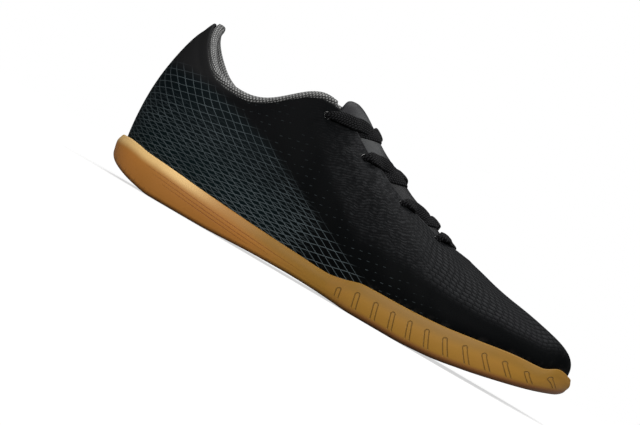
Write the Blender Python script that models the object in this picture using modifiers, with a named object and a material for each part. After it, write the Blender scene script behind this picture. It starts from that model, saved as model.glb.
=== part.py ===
"""Indoor football shoe, right foot, standing empty on its sole.

The toe points along +X, the outer (lateral) side faces -Y and +Z is up. The origin is on the
floor, in the middle of the shoe's length and width. All sizes are in metres.

The upper is lofted between four rails that run round the shoe: the foot line where it enters the
sole, a side rail and a shoulder rail that give each wall its swell, and the edge line of the
throat and collar. Every other piece takes its place from those rails.
"""

import math

import bmesh
import bpy
import numpy as np
from mathutils import Vector

# Overall sizes of the shoe.
SHOE_LENGTH = 0.288
SHOE_WIDTH = 0.0985
TOP_HEIGHT = 0.1033
SOLE_RISE = 0.0228
TOE_SPRING = 0.0200
HEEL_BEVEL = 0.0130
ARCH_RISE = 0.0018

# Walls, paddings and clearances.
GAP = 0.0003
CUP_CLEARANCE = 0.0006
TONGUE_CLEARANCE = 0.0007
UPPER_WALL = 0.0018
RIM_WALL = 0.0026
INSOLE_THICKNESS = 0.0036
TONGUE_THICKNESS = 0.0032
COLLAR_ROLL = 0.0036

# The tread and the notches of the sole's side.
TREAD_DEPTH = 0.0012
NOTCH_WIDTH = 0.0026
NOTCH_DEPTH = 0.0005
EDGE_BEVEL = 0.0050
SIDE_SWELL = 0.0009
SIDE_STEP = 0.0005

# How far under the rim the sole's side is full, is widest and steps in, and how far over the
# underside the step stays.
LIP_DROP = 0.0008
SWELL_DROP = 0.0040
STEP_DROP = 0.0068
STEP_FOOT_DROP = 0.0074
STEP_FLOOR = 0.0040

# Eyelets and lace.
EYELET_RADIUS = 0.0021
EYELET_INSET = 0.0075
LACE_WIDTH = 0.0068
LACE_THICKNESS = 0.0019

# Collar padding.
PAD_CLEARANCE = 0.0005
HEEL_PAD = 0.0115
PAD_DEPTH = 0.0260
PAD_LOW_EDGE = 0.0012
ROLL_LAP = 0.0010
ROLL_OVERHANG = 0.0012

# How finely the faces follow the curves.
RING_COUNT = 92
WALL_ROWS = 10
CAP_COLUMNS = 7
TONGUE_ROWS = 16
TONGUE_COLUMNS = 9
PAD_ROWS = 20
LACE_SIDES = 8
SLOPE_STEP = 0.0020

# Shares of the length at which the eyelets, side notches and flex grooves lie. A flex groove has
# its own slant, in radians.
EYELETS = (-0.152, -0.062, 0.038, 0.126)
SIDE_NOTCHES = (
    0.042,
    0.078,
    0.118,
    0.154,
    0.190,
    0.225,
    0.261,
    0.300,
    0.337,
    0.377,
    0.421,
    0.463,
)
FLEX_GROOVES = (
    (-0.445, 0.0),
    (-0.415, 0.0),
    (-0.235, 0.1),
    (-0.205, 0.1),
    (0.030, 0.15),
    (0.060, 0.15),
    (0.200, 0.25),
    (0.235, 0.25),
    (0.270, 0.25),
    (0.305, 0.25),
    (0.340, 0.2),
)
GROOVE_WIDTH = 0.0024
GROOVE_REACH = 0.84
NOTCH_TOP = 0.0052

# How far the middle of the tongue stands above the edges of the throat: x as a share of the
# length, then the height as a share of the top height.
CROWN_COLUMNS = ("x", "height")
CROWN = (
    (-0.155, 0.040),
    (-0.140, 0.054),
    (-0.119, 0.1015),
    (-0.086, 0.1165),
    (-0.053, 0.1060),
    (-0.005, 0.0980),
    (0.080, 0.0840),
    (0.149, 0.0490),
    (0.212, 0.0180),
)

# The tongue's lap under the upper, its top row, and the lace's rest on it.
TONGUE_LAP = 0.70
TONGUE_TOP_ROW = 8.95
CROWN_SPAN = 0.030
LACE_REST = 0.0006

# One row for each wall section, from the middle of the toe to the middle of the heel. The outer
# and inner sides use the same rows: a line's y is its middle less or plus its half-width.
# x is a share of the length, sideways sizes are shares of the width, heights shares of the top
# height. bulge and lift place the side rail from the foot line, and along, swell and fall place
# the shoulder rail from the edge line (along is the share of the way out to the foot line).
SECTION_COLUMNS = (
    "foot_x foot_mid foot_half edge_x edge_mid edge_half edge_z bulge lift along swell fall"
).split()
SECTIONS = (
    (0.4868, 0.082, 0.000, 0.2120, 0.030, 0.000, 0.5680, 0.005, 0.190, 0.57, 0.000, 0.134),
    (0.4715, 0.082, 0.172, 0.2066, 0.030, 0.046, 0.5700, 0.010, 0.190, 0.57, 0.000, 0.134),
    (0.4280, 0.051, 0.315, 0.1892, 0.028, 0.081, 0.5770, 0.015, 0.175, 0.56, 0.000, 0.128),
    (0.3560, 0.023, 0.414, 0.1562, 0.025, 0.107, 0.5910, 0.020, 0.170, 0.53, 0.000, 0.124),
    (0.2708, 0.003, 0.458, 0.1111, 0.020, 0.127, 0.6180, 0.020, 0.184, 0.51, 0.000, 0.132),
    (0.1806, -0.012, 0.452, 0.0521, 0.015, 0.142, 0.6680, 0.020, 0.214, 0.50, 0.000, 0.132),
    (0.0833, -0.036, 0.412, -0.0139, 0.010, 0.157, 0.7470, 0.025, 0.252, 0.50, 0.005, 0.146),
    (-0.0208, -0.046, 0.348, -0.0764, 0.007, 0.173, 0.8340, 0.030, 0.291, 0.50, 0.010, 0.160),
    (-0.1060, -0.042, 0.313, -0.1180, 0.005, 0.178, 0.9030, 0.036, 0.320, 0.50, 0.020, 0.180),
    (-0.1389, -0.036, 0.305, -0.1389, 0.004, 0.192, 0.9180, 0.036, 0.330, 0.50, 0.025, 0.190),
    (-0.1736, -0.030, 0.302, -0.1736, 0.003, 0.234, 0.9200, 0.036, 0.320, 0.45, 0.030, 0.195),
    (-0.2257, -0.020, 0.304, -0.2222, 0.000, 0.282, 0.8420, 0.036, 0.290, 0.30, 0.030, 0.190),
    (-0.2986, -0.008, 0.317, -0.2850, 0.000, 0.300, 0.7175, 0.036, 0.214, 0.20, 0.030, 0.165),
    (-0.3750, 0.000, 0.315, -0.3540, 0.000, 0.290, 0.7107, 0.038, 0.214, 0.20, 0.034, 0.165),
    (-0.4180, 0.001, 0.282, -0.3850, 0.000, 0.262, 0.7400, 0.042, 0.220, 0.20, 0.050, 0.170),
    (-0.4530, 0.002, 0.222, -0.4110, 0.000, 0.214, 0.8000, 0.044, 0.240, 0.20, 0.070, 0.180),
    (-0.4785, 0.002, 0.128, -0.4390, 0.000, 0.122, 0.9050, 0.045, 0.270, 0.20, 0.090, 0.190),
    (-0.4868, 0.002, 0.000, -0.4520, 0.000, 0.000, 1.0000, 0.045, 0.290, 0.20, 0.098, 0.195),
)

# Side outline of the sole: x as a share of the length, then the top edge of the rim and the floor
# of the cup as shares of the sole's rise, and the underside as shares of the heel bevel, the arch
# rise and the toe spring.
SOLE_COLUMNS = ("x", "rim", "cup", "heel", "arch", "toe")
SOLE_OUTLINE = (
    (-0.500, 0.96, 0.70, 1.00, 0.00, 0.00),
    (-0.486, 1.00, 0.70, 0.66, 0.00, 0.00),
    (-0.465, 1.00, 0.69, 0.44, 0.00, 0.00),
    (-0.440, 0.97, 0.68, 0.27, 0.00, 0.00),
    (-0.415, 0.92, 0.67, 0.14, 0.00, 0.00),
    (-0.370, 0.88, 0.64, 0.00, 0.00, 0.00),
    (-0.270, 0.77, 0.56, 0.00, 0.00, 0.00),
    (-0.140, 0.66, 0.47, 0.00, 0.80, 0.00),
    (-0.060, 0.61, 0.42, 0.00, 1.00, 0.00),
    (0.005, 0.575, 0.40, 0.00, 0.75, 0.00),
    (0.035, 0.63, 0.40, 0.00, 0.45, 0.00),
    (0.080, 0.77, 0.42, 0.00, 0.00, 0.00),
    (0.170, 0.80, 0.46, 0.00, 0.00, 0.00),
    (0.240, 0.86, 0.52, 0.00, 0.00, 0.06),
    (0.310, 0.98, 0.62, 0.00, 0.00, 0.22),
    (0.390, 1.13, 0.78, 0.00, 0.00, 0.47),
    (0.440, 1.18, 0.88, 0.00, 0.00, 0.66),
    (0.472, 1.36, 0.94, 0.00, 0.00, 0.82),
    (0.500, 1.27, 0.98, 0.00, 0.00, 1.00),
)

# The collar's padding: the row of the section table, then its thickness as a share of the heel
# pad's, how far its roll stands above the edge as a share of the roll, its depth down the wall
# as a share of the pad's depth, and the share of the thickness that it has at the very top.
PAD_SECTIONS = (
    (9.3, 0.26, 0.70, 0.50, 1.00),
    (11.0, 0.32, 1.00, 0.70, 1.00),
    (12.5, 0.42, 1.00, 0.85, 1.00),
    (14.0, 0.78, 0.95, 1.00, 0.85),
    (15.5, 1.00, 0.60, 1.10, 0.55),
    (17.0, 1.00, 0.10, 1.15, 0.34),
)


def eased(xs, ys, x):
    """A smooth line through the points that never overshoots them, read at x."""
    xs, ys, x = np.asarray(xs, float), np.asarray(ys, float), np.asarray(x, float)
    step, rise = np.diff(xs), np.diff(ys)
    slope = rise / step
    same = slope[:-1] * slope[1:] > 0
    w_left, w_right = 2 * step[1:] + step[:-1], step[1:] + 2 * step[:-1]
    safe = np.where(same, slope[:-1] * slope[1:], 1.0)
    mean = safe * (w_left + w_right) / (w_left * slope[1:] + w_right * slope[:-1] + (~same))
    tangent = np.concatenate([[slope[0]], np.where(same, mean, 0.0), [slope[-1]]])
    x = np.clip(x, xs[0], xs[-1])
    i = np.clip(np.searchsorted(xs, x, side="right") - 1, 0, len(step) - 1)
    t = (x - xs[i]) / step[i]
    return (
        ys[i] * (1 + 2 * t) * (1 - t) ** 2
        + tangent[i] * step[i] * t * (1 - t) ** 2
        + ys[i + 1] * t * t * (3 - 2 * t)
        + tangent[i + 1] * step[i] * t * t * (t - 1)
    )


class Loop:
    """A closed curve of several values, smooth to its second derivative, through its knots."""

    def __init__(self, knots, values, period):
        self.knots, self.values, self.period = knots, values, period
        n = len(knots)
        gaps = np.diff(np.append(knots, knots[0] + period))
        slopes = (np.roll(values, -1, axis=0) - values) / gaps[:, None]
        system = np.zeros((n, n))
        for i in range(n):
            system[i, i - 1] += gaps[i - 1]
            system[i, i] += 2 * (gaps[i - 1] + gaps[i])
            system[i, (i + 1) % n] += gaps[i]
        self.gaps = gaps
        self.bends = np.linalg.solve(system, 6 * (slopes - np.roll(slopes, 1, axis=0)))

    def at(self, u):
        u = np.mod(np.asarray(u, float), self.period)
        i = np.clip(np.searchsorted(self.knots, u, side="right") - 1, 0, len(self.knots) - 1)
        j = (i + 1) % len(self.knots)
        gap = self.gaps[i][..., None]
        b = (u - self.knots[i])[..., None] / gap
        a = 1 - b
        bend = (a**3 - a) * self.bends[i] + (b**3 - b) * self.bends[j]
        return a * self.values[i] + b * self.values[j] + bend * gap**2 / 6


def section_loop():
    """The loop of wall sections, and the length of its half from toe to heel."""
    rows = [dict(zip(SECTION_COLUMNS, row)) for row in SECTIONS]

    def values(row, side):
        return (
            row["foot_x"] * SHOE_LENGTH,
            (row["foot_mid"] + side * row["foot_half"]) * SHOE_WIDTH,
            row["edge_x"] * SHOE_LENGTH,
            (row["edge_mid"] + side * row["edge_half"]) * SHOE_WIDTH,
            row["edge_z"] * TOP_HEIGHT,
            row["bulge"] * SHOE_WIDTH,
            row["lift"] * TOP_HEIGHT,
            row["along"],
            row["swell"] * SHOE_WIDTH,
            row["fall"] * TOP_HEIGHT,
        )

    outer = np.array([values(row, -1) for row in rows])
    inner = np.array([values(row, 1) for row in rows])
    chords = [np.linalg.norm(np.diff(side[:, :2], axis=0), axis=1) for side in (outer, inner)]
    half = np.concatenate([[0.0], np.cumsum((chords[0] + chords[1]) / 2)])
    length = half[-1]
    knots = np.concatenate([half, 2 * length - half[-2:0:-1]])
    return Loop(knots, np.concatenate([outer, inner[-2:0:-1]]), 2 * length), length


LOOP, HALF = section_loop()
ROW_KNOTS = LOOP.knots[: len(SECTIONS)]


def outline_column(name, x):
    """A column of the sole's side outline at the place x along the shoe."""
    place = SOLE_COLUMNS.index(name)
    shares = np.array(SOLE_OUTLINE)
    return eased(shares[:, 0] * SHOE_LENGTH, shares[:, place], x)


def rim_height(x):
    return SOLE_RISE * outline_column("rim", x)


def underside_height(x):
    return (
        HEEL_BEVEL * outline_column("heel", x)
        + ARCH_RISE * outline_column("arch", x)
        + TOE_SPRING * outline_column("toe", x)
    )


def cup_floor_height(x):
    return SOLE_RISE * outline_column("cup", x)


def foot_line(u, outward=0.0):
    """Points of the foot line in plan, moved outward along its normal."""
    u = np.asarray(u, float)
    step = HALF * 1e-4
    ahead, behind = LOOP.at(u + step)[..., :2], LOOP.at(u - step)[..., :2]
    tangent = ahead - behind
    tangent /= np.linalg.norm(tangent, axis=-1, keepdims=True)
    normal = np.stack([tangent[..., 1], -tangent[..., 0]], axis=-1)
    return LOOP.at(u)[..., :2] - normal * np.asarray(outward)[..., None], -normal


def wall(u, t):
    """The upper's outer face: u runs round the shoe, t from the foot line (0) to the edge (1)."""
    u, t = np.broadcast_arrays(np.asarray(u, float), np.asarray(t, float))
    v = LOOP.at(u)
    foot, normal = foot_line(u)
    edge = v[..., 2:4]
    bulge, lift, along, swell, fall = (v[..., i] for i in range(5, 10))
    side = foot + normal * bulge[..., None]
    shoulder = edge + (foot - edge) * along[..., None] + normal * swell[..., None]
    foot_z = rim_height(foot[..., 0])
    rails = (
        np.concatenate([foot, foot_z[..., None]], axis=-1),
        np.concatenate([side, (foot_z + lift)[..., None]], axis=-1),
        np.concatenate([shoulder, (v[..., 4] - fall)[..., None]], axis=-1),
        np.concatenate([edge, v[..., 4][..., None]], axis=-1),
    )
    weights = ((1 - t) ** 3, 3 * t * (1 - t) ** 2, 3 * t * t * (1 - t), t**3)
    return sum(rail * weight[..., None] for rail, weight in zip(rails, weights))


def wall_normal(u, t):
    """The outward unit normal of the upper's outer face."""
    u, t = np.broadcast_arrays(np.asarray(u, float), np.asarray(t, float))
    du, dt = HALF * 1e-4, 1e-3
    low, high = np.clip(t - dt, 0, 1), np.clip(t + dt, 0, 1)
    across = wall(u, high) - wall(u, low)
    around = wall(u + du, t) - wall(u - du, t)
    normal = np.cross(across, around)
    return normal / np.linalg.norm(normal, axis=-1, keepdims=True)


def place_along_wall(u, down):
    """The t of the point a distance down the wall from its edge."""
    ts = np.linspace(1, 0, 121)
    points = wall(np.full_like(ts, u), ts)
    lengths = np.concatenate([[0], np.cumsum(np.linalg.norm(np.diff(points, axis=0), axis=1))])
    return float(np.interp(down, lengths, ts))


def station_at(x, line="foot"):
    """The u on the outer side whose foot line or edge line lies at x."""
    us = np.linspace(0, HALF, 2001)
    column = LOOP.at(us)[:, 0 if line == "foot" else 2]
    return float(np.interp(-x, -column, us))


def mesh_object(name, vertices, faces, material):
    """A closed mesh object with its faces pointing out."""
    mesh = bpy.data.meshes.new(name)
    mesh.from_pydata([tuple(map(float, v)) for v in vertices], [], faces)
    work = bmesh.new()
    work.from_mesh(mesh)
    bmesh.ops.remove_doubles(work, verts=work.verts, dist=1e-6)
    bmesh.ops.recalc_face_normals(work, faces=work.faces)
    work.to_mesh(mesh)
    work.free()
    mesh.materials.append(material)
    mesh.shade_smooth()
    made = bpy.data.objects.new(name, mesh)
    COLLECTION.objects.link(made)
    return made


def grid_faces(rows, columns, wrap_rows=False, wrap_columns=False):
    """Quads of a grid whose point (i, j) is number i * columns + j."""
    faces = []
    for i in range(rows if wrap_rows else rows - 1):
        for j in range(columns if wrap_columns else columns - 1):
            a, b = i * columns + j, i * columns + (j + 1) % columns
            c, d = ((i + 1) % rows) * columns + (j + 1) % columns, ((i + 1) % rows) * columns + j
            faces.append((a, b, c, d))
    return faces


def plain_material(name, colour, roughness):
    material = bpy.data.materials.new(name)
    material.use_nodes = True
    shader = material.node_tree.nodes["Principled BSDF"]
    shader.inputs["Base Color"].default_value = (*colour, 1.0)
    shader.inputs["Roughness"].default_value = roughness
    shader.inputs["Metallic"].default_value = 0.0
    return material


def ring_stations(count):
    """Places round the shoe, closer together where the rows of sections are closer."""
    rows = np.arange(len(ROW_KNOTS))
    half = np.interp(np.linspace(0, len(rows) - 1, count // 2 + 1), rows, ROW_KNOTS)
    return np.concatenate([half, 2 * HALF - half[-2:0:-1]])


def pair_stations(first, last, count):
    """Places on the outer side between two rows of the section table, given as row numbers."""
    rows = np.arange(len(ROW_KNOTS))
    return np.interp(np.linspace(first, last, count), rows, ROW_KNOTS)


def sheet_across(stations, outward, columns, height):
    """A grid of points that joins each station on the outer side to its pair on the inner side."""
    outer, _ = foot_line(stations, np.full(len(stations), outward))
    inner, _ = foot_line(2 * HALF - stations, np.full(len(stations), outward))
    shares = np.linspace(0, 1, columns)[None, :, None]
    plan = outer[:, None, :] * (1 - shares) + inner[:, None, :] * shares
    return np.concatenate([plan, height(plan[..., 0])[..., None]], axis=-1)


def make_outsole():
    """A gum cup sole: cup, rim, stepped side, bevelled edge, toe spring, flex grooves, notches."""
    stations = ring_stations(RING_COUNT)
    pairs = stations[: RING_COUNT // 2 + 1]
    out = GAP + RIM_WALL
    side = (
        (CUP_CLEARANCE, 0.0, 0.0),
        (out - SIDE_STEP, 0.0, 0.0),
        (out, 0.0, -LIP_DROP),
        (out + SIDE_SWELL, 0.0, -SWELL_DROP),
        (out + SIDE_SWELL * 0.6, 0.0, -STEP_DROP),
        (out + SIDE_SWELL * 0.6 - SIDE_STEP, 0.0, -STEP_FOOT_DROP),
        (out - SIDE_STEP, 1.0, EDGE_BEVEL * 0.55),
        (out - EDGE_BEVEL * 0.30, 1.0, EDGE_BEVEL * 0.20),
        (out - EDGE_BEVEL, 1.0, 0.0),
    )
    vertices, columns = [], len(side)
    for outward, low, offset in side:
        plan, _ = foot_line(stations, np.full(len(stations), outward))
        x = plan[:, 0]
        top = rim_height(x)
        base = underside_height(x)
        z = (base if low else top) + offset
        z = np.maximum(z, base + STEP_FLOOR) if not low and offset < -SWELL_DROP else z
        vertices.append(np.column_stack([plan, z]))
    grid = np.stack(vertices, axis=1)
    faces = grid_faces(len(stations), columns, wrap_rows=True)
    points = list(grid.reshape(-1, 3))
    for outward, height in ((out - EDGE_BEVEL, underside_height), (CUP_CLEARANCE, cup_floor_height)):
        start = len(points)
        flat = sheet_across(pairs, outward, CAP_COLUMNS, height)
        points += list(flat.reshape(-1, 3))
        faces += [tuple(start + i for i in face) for face in grid_faces(len(pairs), CAP_COLUMNS)]
    start = len(points)
    plan, _ = foot_line(stations, np.full(len(stations), CUP_CLEARANCE))
    for z in (rim_height(plan[:, 0]), cup_floor_height(plan[:, 0])):
        points += list(np.column_stack([plan, z]))
    count = len(stations)
    for i in range(count):
        j = (i + 1) % count
        faces.append((start + i, start + j, start + count + j, start + count + i))
    sole = mesh_object("outsole", points, faces, plain_material("gum_rubber", (0.42, 0.17, 0.045), 0.45))
    for number, (share, slant) in enumerate(FLEX_GROOVES):
        x = share * SHOE_LENGTH
        lateral = foot_line(station_at(x))[0]
        medial = foot_line(2 * HALF - station_at(x))[0]
        rise = underside_height(x + SLOPE_STEP) - underside_height(x - SLOPE_STEP)
        slope = math.atan2(rise, 2 * SLOPE_STEP)
        size = (GROOVE_WIDTH, (medial[1] - lateral[1]) * GROOVE_REACH, 2 * TREAD_DEPTH)
        place = (x, (lateral[1] + medial[1]) / 2, underside_height(x))
        cut_box(sole, f"flex_groove_{number + 1}", place, size, (0.0, -slope, slant))
    for side_name, sign in (("outer", 1), ("inner", -1)):
        for number, share in enumerate(SIDE_NOTCHES):
            x = share * SHOE_LENGTH
            u = sign * station_at(x)
            outside, normal = foot_line(u, out + SIDE_SWELL)
            base, top = underside_height(x), rim_height(x) - NOTCH_TOP
            angle = math.atan2(normal[1], normal[0])
            place = (outside[0], outside[1], (base + top) / 2)
            size = (2 * (NOTCH_DEPTH + SIDE_STEP), NOTCH_WIDTH, top - base)
            cut_box(sole, f"notch_{side_name}_{number + 1}", place, size, (0.0, 0.0, angle))
    return sole


def cut_box(target, name, place, size, turn):
    """Cuts a box of this size from the target."""
    bpy.ops.mesh.primitive_cube_add(size=1, location=place, rotation=turn)
    cutter = bpy.context.object
    cutter.name = name
    cutter.scale = size
    hide_cutter(cutter)
    add_cut(target, cutter)


def hide_cutter(cutter):
    for collection in list(cutter.users_collection):
        collection.objects.unlink(cutter)
    CUTTERS.objects.link(cutter)
    cutter.hide_render = True
    cutter.display_type = "WIRE"


def add_cut(target, cutter, operation="DIFFERENCE"):
    cut = target.modifiers.new(cutter.name, "BOOLEAN")
    cut.operation = operation
    cut.object = cutter
    cut.solver = "EXACT"


def make_upper():
    """One hollow shell from the cup of the sole to the throat and collar, with punched eyelets."""
    stations = ring_stations(RING_COUNT)
    heights = np.concatenate([[-1.0], np.linspace(0, 1, WALL_ROWS) ** 0.9])
    points = []
    for u in stations:
        foot, _ = foot_line(u)
        floor = cup_floor_height(foot[0]) + GAP
        points.append([foot[0], foot[1], floor])
        points += list(wall(u, heights[1:]))
    faces = grid_faces(len(stations), len(heights), wrap_rows=True)
    material = plain_material("black_upper", (0.012, 0.012, 0.013), 0.5)
    upper = mesh_object("upper", points, faces, material)
    shell = upper.modifiers.new("wall", "SOLIDIFY")
    shell.thickness = UPPER_WALL
    shell.offset = -1.0
    for side_name, sign in (("outer", 1), ("inner", -1)):
        for number, share in enumerate(EYELETS):
            place, normal = eyelet(share, sign)
            bpy.ops.mesh.primitive_cylinder_add(
                vertices=10, radius=EYELET_RADIUS, depth=6 * UPPER_WALL, location=place
            )
            cutter = bpy.context.object
            cutter.name = f"eyelet_{side_name}_{number + 1}"
            cutter.rotation_euler = Vector(normal).to_track_quat("Z", "Y").to_euler()
            hide_cutter(cutter)
            add_cut(upper, cutter)
    return upper


def eyelet(share, sign):
    """The middle and the normal of an eyelet on the upper's outer face."""
    u = sign * station_at(share * SHOE_LENGTH, "edge")
    t = place_along_wall(u, EYELET_INSET)
    return wall(u, t), wall_normal(u, t)


def crown(x):
    """How far the tongue's middle stands above the edges of the throat."""
    places, heights = np.array(CROWN).T
    return TOP_HEIGHT * eased(places * SHOE_LENGTH, heights, x)


def tongue_top(u, share):
    """The tongue's outer face: share runs from the outer edge of the throat to the inner one."""
    depth = UPPER_WALL + TONGUE_CLEARANCE
    outer = wall(u, 1.0) - wall_normal(u, 1.0) * depth
    inner = wall(2 * HALF - u, 1.0) - wall_normal(2 * HALF - u, 1.0) * depth
    share = np.asarray(share, float)[..., None]
    point = outer * (1 - share) + inner * share
    point[..., 2] += (crown(point[..., 0]) * (1 - (2 * share[..., 0] - 1) ** 2)) * np.clip(
        np.abs(inner[..., 1] - outer[..., 1]) / CROWN_SPAN, 0, 1
    )
    return point


def make_tongue():
    """A padded arch under the throat, lapped under the upper on both sides and at the front."""
    pairs = pair_stations(0, TONGUE_TOP_ROW, TONGUE_ROWS)
    ring = np.concatenate([-pairs[::-1], pairs[1:]])
    laps = np.linspace(TONGUE_LAP, 1.0, 4)
    depth = UPPER_WALL + TONGUE_CLEARANCE
    points, faces = [], []
    for u in ring:
        points += list(wall(u, laps) - wall_normal(u, laps) * depth)
    faces += grid_faces(len(ring), len(laps))
    start = len(points)
    shares = np.linspace(0, 1, TONGUE_COLUMNS)
    for u in pairs:
        points += list(tongue_top(np.full_like(shares, u), shares))
    faces += [tuple(start + i for i in face) for face in grid_faces(len(pairs), TONGUE_COLUMNS)]
    material = plain_material("tongue_satin", (0.035, 0.035, 0.038), 0.45)
    tongue = mesh_object("tongue", points, faces, material)
    shell = tongue.modifiers.new("padding", "SOLIDIFY")
    shell.thickness = TONGUE_THICKNESS
    shell.offset = -1.0
    return tongue


def make_insole():
    """A soft sheet on the floor of the cup."""
    stations = ring_stations(RING_COUNT)
    pairs = stations[: RING_COUNT // 2 + 1]
    inset = UPPER_WALL + 3 * GAP
    sheet = sheet_across(pairs, -inset, CAP_COLUMNS, lambda x: cup_floor_height(x) + 1.5 * GAP)
    faces = grid_faces(len(pairs), CAP_COLUMNS)
    material = plain_material("insole_cloth", (0.03, 0.03, 0.032), 0.9)
    insole = mesh_object("insole", sheet.reshape(-1, 3), faces, material)
    up = insole.data.polygons[len(insole.data.polygons) // 2].normal.z
    shell = insole.modifiers.new("thickness", "SOLIDIFY")
    shell.thickness = INSOLE_THICKNESS
    shell.offset = 1.0 if up > 0 else -1.0
    return insole


def make_collar_lining():
    """The padded knit lining: a roll that shows above the collar's edge, and the heel pad."""
    half = np.linspace(PAD_SECTIONS[0][0], PAD_SECTIONS[-1][0], PAD_ROWS)
    table = np.array(PAD_SECTIONS)
    columns = [eased(table[:, 0], table[:, i], half) for i in range(1, table.shape[1])]
    rows = np.arange(len(ROW_KNOTS))
    u_half = np.interp(half, rows, ROW_KNOTS)
    us = np.concatenate([u_half, 2 * HALF - u_half[-2::-1]])
    shares = [np.concatenate([column, column[-2::-1]]) for column in columns]
    seat = UPPER_WALL + PAD_CLEARANCE
    rings = []
    for u, thick_share, roll_share, depth_share, top_share in zip(us, *shares):
        pad = HEEL_PAD * thick_share
        top = pad * top_share
        rise = COLLAR_ROLL * roll_share
        depth = PAD_DEPTH * depth_share
        low = place_along_wall(u, depth)
        middle = place_along_wall(u, depth * 0.45)
        high = place_along_wall(u, min(pad, depth * 0.25))
        edge = wall(u, 1.0)
        inward = -wall_normal(u, 1.0)
        inward[2] = 0.0
        inward /= np.linalg.norm(inward)
        up = np.array([0.0, 0.0, 1.0])
        profile = [
            wall(u, low) - wall_normal(u, low) * seat,
            wall(u, middle) - wall_normal(u, middle) * seat,
            edge + inward * seat - up * ROLL_LAP,
            edge + inward * (seat - ROLL_OVERHANG * roll_share) + up * (PAD_CLEARANCE + rise * 0.30),
            edge + inward * (seat + top * 0.15) + up * (PAD_CLEARANCE + rise * 0.85),
            edge + inward * (seat + top * 0.45) + up * (PAD_CLEARANCE + rise),
            edge + inward * (seat + top * 0.85) + up * (PAD_CLEARANCE + rise * 0.55),
            wall(u, high) - wall_normal(u, high) * (seat + (pad + top) / 2),
            wall(u, middle) - wall_normal(u, middle) * (seat + pad * 0.9 + (pad - top) * 0.15),
            wall(u, low) - wall_normal(u, low) * (seat + PAD_LOW_EDGE),
        ]
        rings.append(profile)
    grid = np.array(rings)
    count, columns = grid.shape[:2]
    faces = grid_faces(count, columns, wrap_columns=True)
    faces.append(tuple(range(columns)))
    faces.append(tuple((count - 1) * columns + i for i in range(columns)))
    material = plain_material("knit_lining", (0.09, 0.09, 0.095), 0.9)
    return mesh_object("collar_lining", grid.reshape(-1, 3), faces, material)


def strand(name, points, normals, material):
    """A flat lace along the points, its broad side facing the normals."""
    points, normals = np.asarray(points), np.asarray(normals)
    along = np.gradient(points, axis=0)
    along /= np.linalg.norm(along, axis=1, keepdims=True)
    across = np.cross(normals, along)
    across /= np.linalg.norm(across, axis=1, keepdims=True)
    up = np.cross(along, across)
    turns = np.linspace(0, 2 * math.pi, LACE_SIDES, endpoint=False) + math.pi / LACE_SIDES
    grid = (
        points[:, None, :]
        + across[:, None, :] * (np.cos(turns) * LACE_WIDTH / 2)[None, :, None]
        + up[:, None, :] * (np.sin(turns) * LACE_THICKNESS / 2)[None, :, None]
    )
    count = len(points)
    faces = grid_faces(count, LACE_SIDES, wrap_columns=True)
    faces.append(tuple(range(LACE_SIDES)))
    faces.append(tuple((count - 1) * LACE_SIDES + i for i in range(LACE_SIDES)))
    return mesh_object(name, grid.reshape(-1, 3), faces, material)


def lace_path(share_from, share_to, sign, to_eyelet):
    """A strand from the eyelet on one side, over the tongue, to the other side of the throat."""
    u_from = station_at(share_from * SHOE_LENGTH, "edge")
    u_to = station_at(share_to * SHOE_LENGTH, "edge")
    rest = 2 * GAP + LACE_THICKNESS / 2
    t_hole = place_along_wall(u_from, EYELET_INSET)
    points, normals = [], []
    for t in np.linspace(t_hole, 1.0, 4):
        normal = wall_normal(sign * u_from, t)
        points.append(wall(sign * u_from, t) + normal * rest)
        normals.append(normal)
    limits = (0.14, 1.0 if to_eyelet else 0.98)
    for share in np.linspace(*limits, 9)[: 8 if to_eyelet else 9]:
        u = u_from + (u_to - u_from) * share
        place = share if sign > 0 else 1 - share
        middle = tongue_top(np.array([u]), np.array([place]))[0]
        ahead = tongue_top(np.array([u - SLOPE_STEP / 2]), np.array([place]))[0]
        beside = tongue_top(np.array([u]), np.array([place + 0.01]))[0]
        normal = np.cross(beside - middle, ahead - middle)
        normal *= np.sign(normal[2]) / np.linalg.norm(normal)
        lift = UPPER_WALL * (1 - np.clip(np.array([share, 1 - share]).min() / 0.3, 0, 1) ** 1.5)
        points.append(middle + normal * (rest + LACE_REST + lift))
        normals.append(normal)
    if to_eyelet:
        for t in np.linspace(1.0, t_hole, 4):
            normal = wall_normal(-sign * u_to, t)
            points.append(wall(-sign * u_to, t) + normal * rest)
            normals.append(normal)
    return points, normals


def make_laces():
    """The lowest bar and the three crossings over it, joined into one solid just over the tongue."""
    material = plain_material("black_lace", (0.010, 0.010, 0.011), 0.8)
    laces = strand("laces", *lace_path(EYELETS[-1], EYELETS[-1], 1, True), material)
    for number, (share_from, share_to) in enumerate(zip(EYELETS[:-1], EYELETS[1:])):
        for side_name, sign in (("outer", 1), ("inner", -1)):
            name = f"crossing_{number + 1}_{side_name}"
            crossing = strand(name, *lace_path(share_from, share_to, sign, False), material)
            hide_cutter(crossing)
            add_cut(laces, crossing, "UNION")


def main():
    make_outsole()
    make_upper()
    make_tongue()
    make_insole()
    make_collar_lining()
    make_laces()


for scene_object in list(bpy.data.objects):
    bpy.data.objects.remove(scene_object, do_unlink=True)
COLLECTION = bpy.data.collections.new("indoor_football_shoe")
CUTTERS = bpy.data.collections.new("cutters")
bpy.context.scene.collection.children.link(COLLECTION)
bpy.context.scene.collection.children.link(CUTTERS)
main()
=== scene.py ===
import math

import bmesh
import bpy
import numpy as np
from mathutils import Matrix, Vector


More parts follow.
